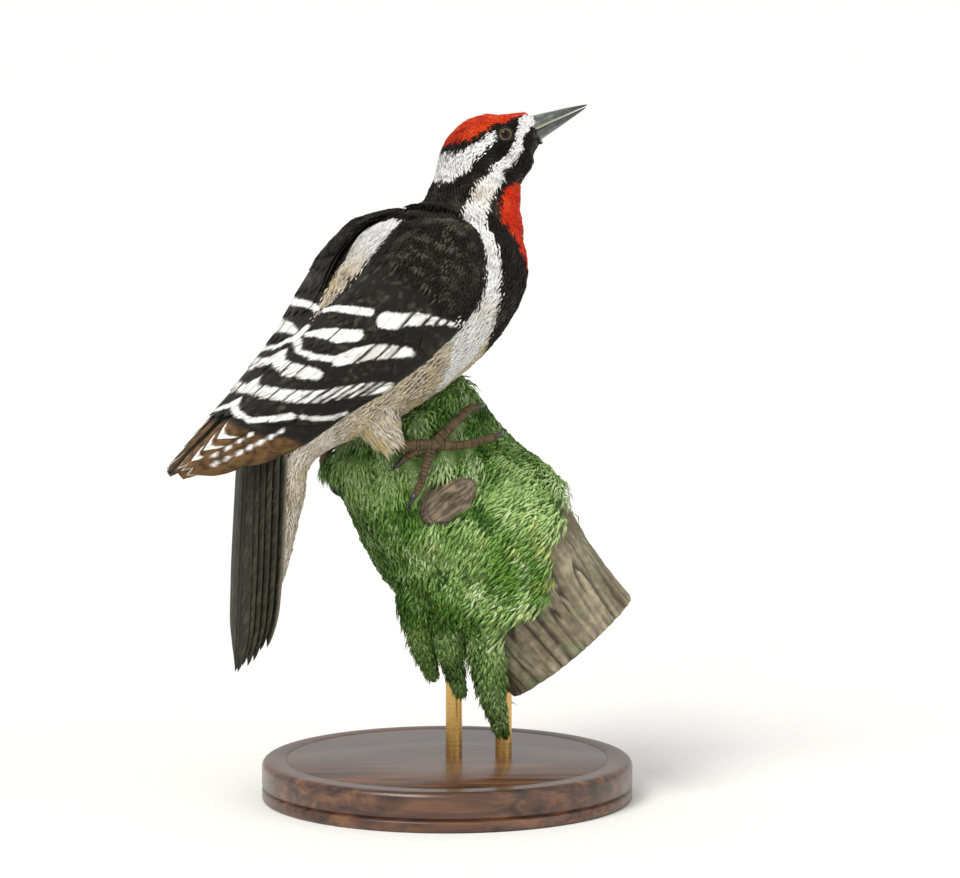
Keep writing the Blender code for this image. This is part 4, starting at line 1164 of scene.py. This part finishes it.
def make_foot(name, leg):
    lift = TOE_RADIUS[0] + GAP + leg["lift"]
    thigh_end = from_trunk(leg["thigh"][-1])
    ankle, sole = from_trunk(leg["ankle"]), perch_point(*leg["sole"], lift)
    shank = [0.6 * thigh_end + 0.4 * ankle, ankle, 0.5 * (ankle + sole), sole]
    piece = Piece(f"foot_{name}_scutes")
    scuted(piece, shank, [TARSUS_RADIUS] * 4, 0)
    claws = Piece(f"claws_{name}")
    TOE_PATHS.append(along(shank, np.linspace(0, 3, 30)))
    for i, (toe, places) in enumerate(leg["toes"].items()):
        points = [sole] + [perch_point(*place, lift) for place in places]
        scuted(piece, points, (TOE_RADIUS[0], 1.3, 1.15, 1.0), i + 1, ridge=0.2)
        TOE_PATHS.append(along(points, np.linspace(0, 3, 30)))
        forward = unit(points[-1] - along(points, np.array(2.4)))
        outward = unit(perch_point(*places[-1], 1.0) - perch_point(*places[-1], 0.0))
        start = points[-1] + forward * (0.2 * TOE_RADIUS[1])
        f = np.linspace(0, 1, 30)[:, None]
        reach = CLAW_LENGTH + 0.6 * TOE_RADIUS[1] + 0.4
        path = start + forward * reach * f + outward * (0.9 * np.sin(math.pi * f) - 1.5 * f * f)
        rings, tip, root = ring_tube(path, 0.9 * (1 - f[:, 0]) ** 0.7 + 0.1, 20)
        tint = mix(paint(22, 18, 14), paint(72, 64, 52), 0.4 * (1 - f) * noise(rings, 0.8, 4))
        claws.tube(rings, tint, whole_map((0.02 + 0.25 * i, 0.02), (0.23 + 0.25 * i, 0.98)), tip, root)
    piece.build(scale, replaces=(f"foot_{name}",))
    claws.build(claw_horn, replaces=tuple(f"claw_{name}_{toe}" for toe in leg["toes"]))


for leg_name, leg_shape in LEGS.items():
    make_foot(leg_name, leg_shape)


# ---------------------------------------------------------------- perch


def knot_frame():
    """The knot's middle, and the directions across and down the perch there."""
    down = unit(perch_point(KNOT[0] + 0.05, KNOT[1]) - perch_point(KNOT[0] - 0.05, KNOT[1]))
    return perch_point(*KNOT, KNOT_LIFT), np.array((-down[2], 0.0, down[0])), down


def knot_offset(place):
    """How far a place lies from the knot's middle, in knot radii across the front."""
    middle, side, down = knot_frame()
    off = place - middle
    return np.sqrt(((off @ side) / KNOT_SIZE[0]) ** 2 + ((off @ down) / KNOT_SIZE[1]) ** 2
                   + (off[..., 1] / 12.0) ** 2)


def round_noise(angle, radius, height, seed):
    """Noise that closes round a branch; radius sets how many cells go round."""
    return noise(stacked(np.cos(angle) * radius, np.sin(angle) * radius, height), 1.0, seed)


def make_bark():
    piece = Piece("perch_bark")
    t = np.concatenate((-np.linspace(0.98, 0.0, 30), np.linspace(0, 3, 271)[1:]))[:, None]
    angle = circle(260)
    ridge = np.abs(round_noise(angle, 10, t * 1.3, 21) - 0.5) * 2
    fine = round_noise(angle, 30, t * 9, 22)
    crack = smooth(0.16, 0.02, ridge)
    lift = -MOSS_DEPTH + 0.9 * (ridge - 0.3) + 0.5 * (fine - 0.5) - 0.9 * crack - 0.4 * (t > 2.995)
    rings = perch_point(t, np.degrees(angle), lift, BARK_CAP)
    shade = 0.5 * noise(rings, 9.0, 23) + 0.5 * round_noise(angle, 34, t * 2.5, 25)
    tint = mix(paint(114, 104, 81), paint(160, 150, 124), smooth(0.3, 0.75, shade))
    tint = mix(tint, paint(104, 93, 76), 0.6 * smooth(0.5, 0.2, fine))
    tint = mix(tint, paint(58, 48, 40), 0.85 * crack)
    tint = mix(tint, paint(120, 128, 96), 0.5 * smooth(0.62, 0.8, noise(rings, 5.0, 24)))
    piece.tube(rings, tint, whole_map())

    middle, side, down = knot_frame()
    front = np.array((0.0, -1.0, 0.0))
    polar, around = np.linspace(0.05, math.pi - 0.05, 90)[:, None], circle(120)
    swirl = round_noise(around, 3, polar * 5, 31)
    grow = 1.0 + 0.12 * (swirl - 0.5) + 0.02 * np.sin(polar * 26 + 3 * swirl)
    dish = 0.62 * smooth(0.85, 0.15, np.sin(polar)) * smooth(math.pi / 2, 0.0, polar)
    rings = middle + (
        side * (KNOT_SIZE[0] * np.sin(polar) * np.cos(around) * grow)[..., None]
        + down * (KNOT_SIZE[1] * np.sin(polar) * np.sin(around) * grow)[..., None]
        + front * (KNOT_SIZE[2] * np.cos(polar) * (1.05 - dish) * grow)[..., None])
    wood = noise(stacked((rings @ side) * 0.35, (rings @ down) * 2.0, rings[..., 1] * 0.5), 1.0, 32)
    tint = mix(paint(134, 119, 97), paint(92, 79, 63), smooth(0.3, 0.7, wood))
    tint = mix(tint, paint(58, 48, 38), 0.6 * smooth(0.5, 0.1, np.sin(polar)) * smooth(0.3, 0.8, swirl))
    tint = mix(tint, paint(60, 50, 40), 0.5 * smooth(0.8, 1.0, np.sin(polar) ** 2))
    piece.tube(rings, tint, whole_map((0.9, 0.9), (0.98, 0.98)),
               middle - front * KNOT_SIZE[2], middle + front * (0.38 * KNOT_SIZE[2]))
    return piece.build(bark, replaces=("perch_branch",))


def moss_tint(place, seed=0):
    flow = place @ np.array(((0.80, 0.0, -0.60), (0.0, 1.0, 0.0), (0.16, 0.0, 0.21)))
    broad, patch, fine = noise(place, 13.0, 41), noise(flow, 2.4, 42), noise(place, 1.1, 43 + seed)
    tint = mix(paint(98, 144, 54), paint(166, 198, 122), smooth(0.3, 0.7, 0.5 * broad + 0.5 * patch))
    tint = mix(tint, paint(212, 226, 180), 0.7 * smooth(0.5, 0.78, patch) * smooth(0.25, 0.6, fine))
    tint = mix(tint, paint(190, 182, 92), 0.4 * smooth(0.74, 0.9, noise(place, 3.2, 44)))
    tint = mix(tint, paint(36, 70, 18), 0.85 * smooth(0.44, 0.2, 0.7 * patch + 0.3 * fine))
    # Painted shade on the lower left side of the moss, the underside of the perch; the moss is also darker
    # towards the perch's upper end.
    far = place[..., 0] + 0.75 * (place[..., 2] - 75.0)
    underside_shade_and_dark_top = np.maximum(smooth(4.0, -22.0, far), 0.75 * smooth(88.0, 112.0, place[..., 2]))
    # tip makes the moss darker and more olive towards the bottom.
    tip = smooth(-6.0, -34.0, place[..., 2] - 60.0 + 0.4 * place[..., 0])
    tint = mix(tint, mix(tint * 0.62, paint(120, 116, 40), 0.3 * tip), tip * 0.7)
    return mix(tint, tint * (0.42, 0.52, 0.34), 0.85 * underside_shade_and_dark_top)


def beard_curve(beard, f):
    """Centre and radius of a hanging beard at the share f of its length."""
    place, length, radius = beard
    f = np.asarray(f)[:, None]
    centre = perch_point(*place, -0.55 * radius) + length * (f * f * (0.2, 0.0, 0.0) - f * (0.0, 0.0, 1.0))
    return centre, radius * np.interp(f[:, 0], (-0.25, 0, 0.35, 0.7, 1), (0.6, 0.85, 0.6, 0.35, 0.1))


def beard_page(i):
    return (0.02 + 0.33 * i, 0.84), (0.32 + 0.33 * i, 0.98)


def make_moss_mat():
    mat = Piece("moss_mat")
    share, degrees = np.linspace(0, 1, 150)[:, None], np.degrees(circle(200))
    t = -0.98 + (moss_hem(np.radians(degrees)) + 0.98) * share
    rough = noise(perch_point(t, degrees), 3.0, 51)
    lift = -1.3 + 1.2 * (rough - 0.5) - 2.9 * (1 - smooth(1.0, 0.93, share))
    outer = perch_point(t, degrees, lift, MOSS_CAP - 1.2)
    inward = unit(perch_point(t, degrees, -20.0, MOSS_CAP) - perch_point(t, degrees, 0.0, MOSS_CAP))
    outer = outer + inward * (3.4 * smooth(1.25, 1.0, knot_offset(outer)))[..., None]
    # The mat takes the moss colours at 0.55: painted shade under the tufts.
    mat.tube(outer, moss_tint(outer) * 0.55, whole_map(*BODY_PAGE))
    for i, beard in enumerate(MOSS_BEARDS):
        rings, tip, root = ring_tube(*beard_curve(beard, np.linspace(-0.25, 1, 30)), 32)
        rings = rings + (noise(rings, 2.0, 55)[..., None] - 0.5) * 1.2
        # The beards' cores take half the moss colour: painted shade inside the hanging tufts.
        mat.tube(rings, moss_tint(rings) * 0.5, whole_map(*beard_page(i)), tip, root)
    mat.build(moss, replaces=("perch_moss",))


def make_moss_tufts(part):
    """Half of the moss: it hangs down the perch, and is short round the toes and open at the knot."""
    piece = Piece(f"moss_tufts_{part + 1}")
    a, b = spread(3500, 60 + part * 5)
    degrees = 360 * b
    last = moss_hem(np.radians(degrees))
    dome = 0.14  # the share of the tufts that stand on the domed end
    t = np.where(a < dome, -(np.maximum(1 - a / dome, 0) ** 0.7), (a - dome) / (1 - dome) * last)
    t = np.minimum(t, last - 0.02)
    place, normal, lie = perch_frame(t, degrees)
    lie = np.where((t < 0)[:, None], unit(lie + (0, 0, 0.2)), lie)
    keep = knot_offset(place + lie * 2.0) > 1.12
    toes = np.concatenate(TOE_PATHS)
    near = np.sqrt(((place[:, None] - toes[None]) ** 2).sum(-1)).min(1)
    place, normal, lie, t, b, near, last = (x[keep] for x in (place, normal, lie, t, b, near, last))
    swirl = noise(place, 9.0, 62)[:, None] - 0.5
    sweep = stacked(-0.15 - 0.95 * smooth(-8.0, 24.0, place[:, 0]), 0.0, -0.9)
    sag = unit(lie * 0.15 + sweep + 0.8 * swirl * np.cross(normal, lie) + rng.normal(0, 0.16, place.shape))
    sag = unit(sag - normal * (sag * normal).sum(-1, keepdims=True))
    size = 4.8 + 2.6 * noise(place, 6.0, 61) + 2.0 * smooth(0.12, 0.0, last - t)
    size = size * (0.35 + 0.65 * smooth(2.2, 6.0, near))
    tufts(piece, place - normal * 1.6, normal, sag, size, 0.5, moss_tint(place, part),
          page(b, (t + 1) / 4, *BODY_PAGE), rise=(0.22, 0.08), fan=0.24, scatter=0.4, sink=0.4,
          shade=(0.85, 1.05, 1.15))
    piece.build(moss, smoothed=False)


def make_moss_beards():
    piece = Piece("moss_beards")
    for i, beard in enumerate(MOSS_BEARDS):
        a, b = spread(700, 80 + i)
        centre, wide = beard_curve(beard, -0.2 + 1.1 * a)
        angle = 2 * math.pi * b
        normal = stacked(np.cos(angle), np.sin(angle), 0.0)
        place = centre + normal * wide[:, None]
        lie = unit((0.05, 0, -1.0) + rng.normal(0, 0.12, place.shape))
        tufts(piece, place - normal * 0.5, normal, lie, 3.5 + 2.5 * (1 - a), 0.6, moss_tint(place, 2),
              page(b, a, *beard_page(i)), rise=(0.18, 0.1), fan=0.3, scatter=0.4)
    piece.build(moss, smoothed=False)


make_bark()
make_moss_mat()
for moss_part in (0, 1):
    make_moss_tufts(moss_part)
make_moss_beards()


# ---------------------------------------------------------------- stand


def lathe(name, profile, centre, sides, finish, node):
    piece = Piece(name)
    angle = circle(sides)
    radius, height = np.array(profile).T[..., None]
    rings = stacked(centre[0] + radius * np.cos(angle), centre[1] + radius * np.sin(angle), height)
    piece.tube(rings, np.full(3, 0.5), whole_map())
    obj = piece.build(finish, replaces=(node,))
    obj.data.set_sharp_from_angle(angle=math.radians(40))
    return obj


def make_stand():
    wood, brass = turned_wood(), brushed_brass()
    ease, foot_ease, groove_depth = 2.0, 0.6, 0.9
    bend = [(BASE_RADIUS - ease * (1 - math.cos(a)), BASE_HEIGHT - ease * (1 - math.sin(a)))
            for a in np.linspace(0, math.pi / 2, 9)]
    groove = [(BASE_RADIUS - groove_depth * math.sin(a) ** 2, 3.0 + 1.6 * a / math.pi)
              for a in np.linspace(0, math.pi, 9)]
    side = [(1.0, 0.0), (BASE_RADIUS - foot_ease, 0.0), (BASE_RADIUS, foot_ease), *groove, *bend]
    top = [(49.0, BASE_HEIGHT), (48.6, BASE_HEIGHT - 0.3), (48.2, BASE_HEIGHT), (20.0, BASE_HEIGHT),
           (1.0, BASE_HEIGHT)]
    lathe("base_turned", side + top, (0.0, 0.0), 160, wood, "stand_base")
    for i, (x, head) in enumerate(RODS, start=1):
        foot = BASE_HEIGHT - ROD_SOCKET + GAP
        rod = [(0.2, foot), (ROD_RADIUS, foot), (ROD_RADIUS, head - GAP), (0.2, head - GAP)]
        lathe(f"rod_{i}_brass", rod, (x, PERCH_Y), 64, brass, f"stand_rod_{i}")


make_stand()


# ---------------------------------------------------------------- floor, light and camera


FLOOR_REACH = 30.0
LAMP_TARGET = (0.0, 0.0, 0.12)
CAMERA_TILT, CAMERA_DISTANCE, CAMERA_LENS = math.radians(7.0), 1.5, 187.5
VIEW_MIDDLE = (0.0099, 0.1083)  # across and up, where the tilted view is centred


def direction(way):
    """Euler angles that point -Z along way, with Y upwards."""
    flat = math.hypot(way[0], way[1])
    return (math.atan2(flat, -way[2]), 0.0, math.atan2(-way[0], way[1]))


def make_floor():
    mesh = bpy.data.meshes.new("floor")
    corners = [(x * FLOOR_REACH, y * FLOOR_REACH, 0) for x, y in ((-1, -1), (1, -1), (1, 1), (-1, 1))]
    mesh.from_pydata(corners, [], [(0, 1, 2, 3)])
    floor = bpy.data.objects.new("floor", mesh)
    bpy.context.scene.collection.objects.link(floor)
    made, nodes, links, out = shader("floor_paper", Roughness=0.9, Specular_IOR_Level=0.1)
    tooth = noise_node(nodes, links, Scale=400.0, Detail=4.0)
    links.new(ramp(nodes, links, tooth, ((0.35, paint(240, 239, 235)), (0.65, paint(244, 243, 239)))),
              out.inputs["Base Color"])
    mesh.materials.append(made)


def make_lamp(name, kind, energy, place, size):
    data = bpy.data.lights.new(name, kind)
    data.energy = energy
    setattr(data, "size" if kind == "AREA" else "angle", size)
    lamp = bpy.data.objects.new(name, data)
    lamp.location = place
    lamp.rotation_euler = direction(unit(np.subtract(LAMP_TARGET, place)))
    bpy.context.scene.collection.objects.link(lamp)


def make_light():
    world = bpy.data.worlds.new("studio")
    world.use_nodes = True
    sky = world.node_tree.nodes["Background"].inputs
    sky["Color"].default_value = (1.0, 0.998, 0.992, 1.0)
    sky["Strength"].default_value = 0.66
    bpy.context.scene.world = world
    make_lamp("key", "SUN", 1.9, (-1.2, -1.6, 2.6), math.radians(28))
    make_lamp("fill", "SUN", 0.55, (2.0, -1.4, 1.2), math.radians(60))
    make_lamp("sparkle", "AREA", 1.2, (-0.35, -0.9, 0.75), 0.16)


def make_camera():
    target = np.array((VIEW_MIDDLE[0], 0.0, VIEW_MIDDLE[1] / math.cos(CAMERA_TILT)))
    back = np.array((0.0, -math.cos(CAMERA_TILT), math.sin(CAMERA_TILT)))
    data = bpy.data.cameras.new("camera")
    data.lens, data.sensor_width = CAMERA_LENS, 36.0
    camera = bpy.data.objects.new("camera", data)
    camera.location = target + back * CAMERA_DISTANCE
    camera.rotation_euler = direction(-back)
    bpy.context.scene.collection.objects.link(camera)
    bpy.context.scene.camera = camera


make_floor()
make_light()
make_camera()
bpy.context.scene.view_settings.view_transform = "Standard"
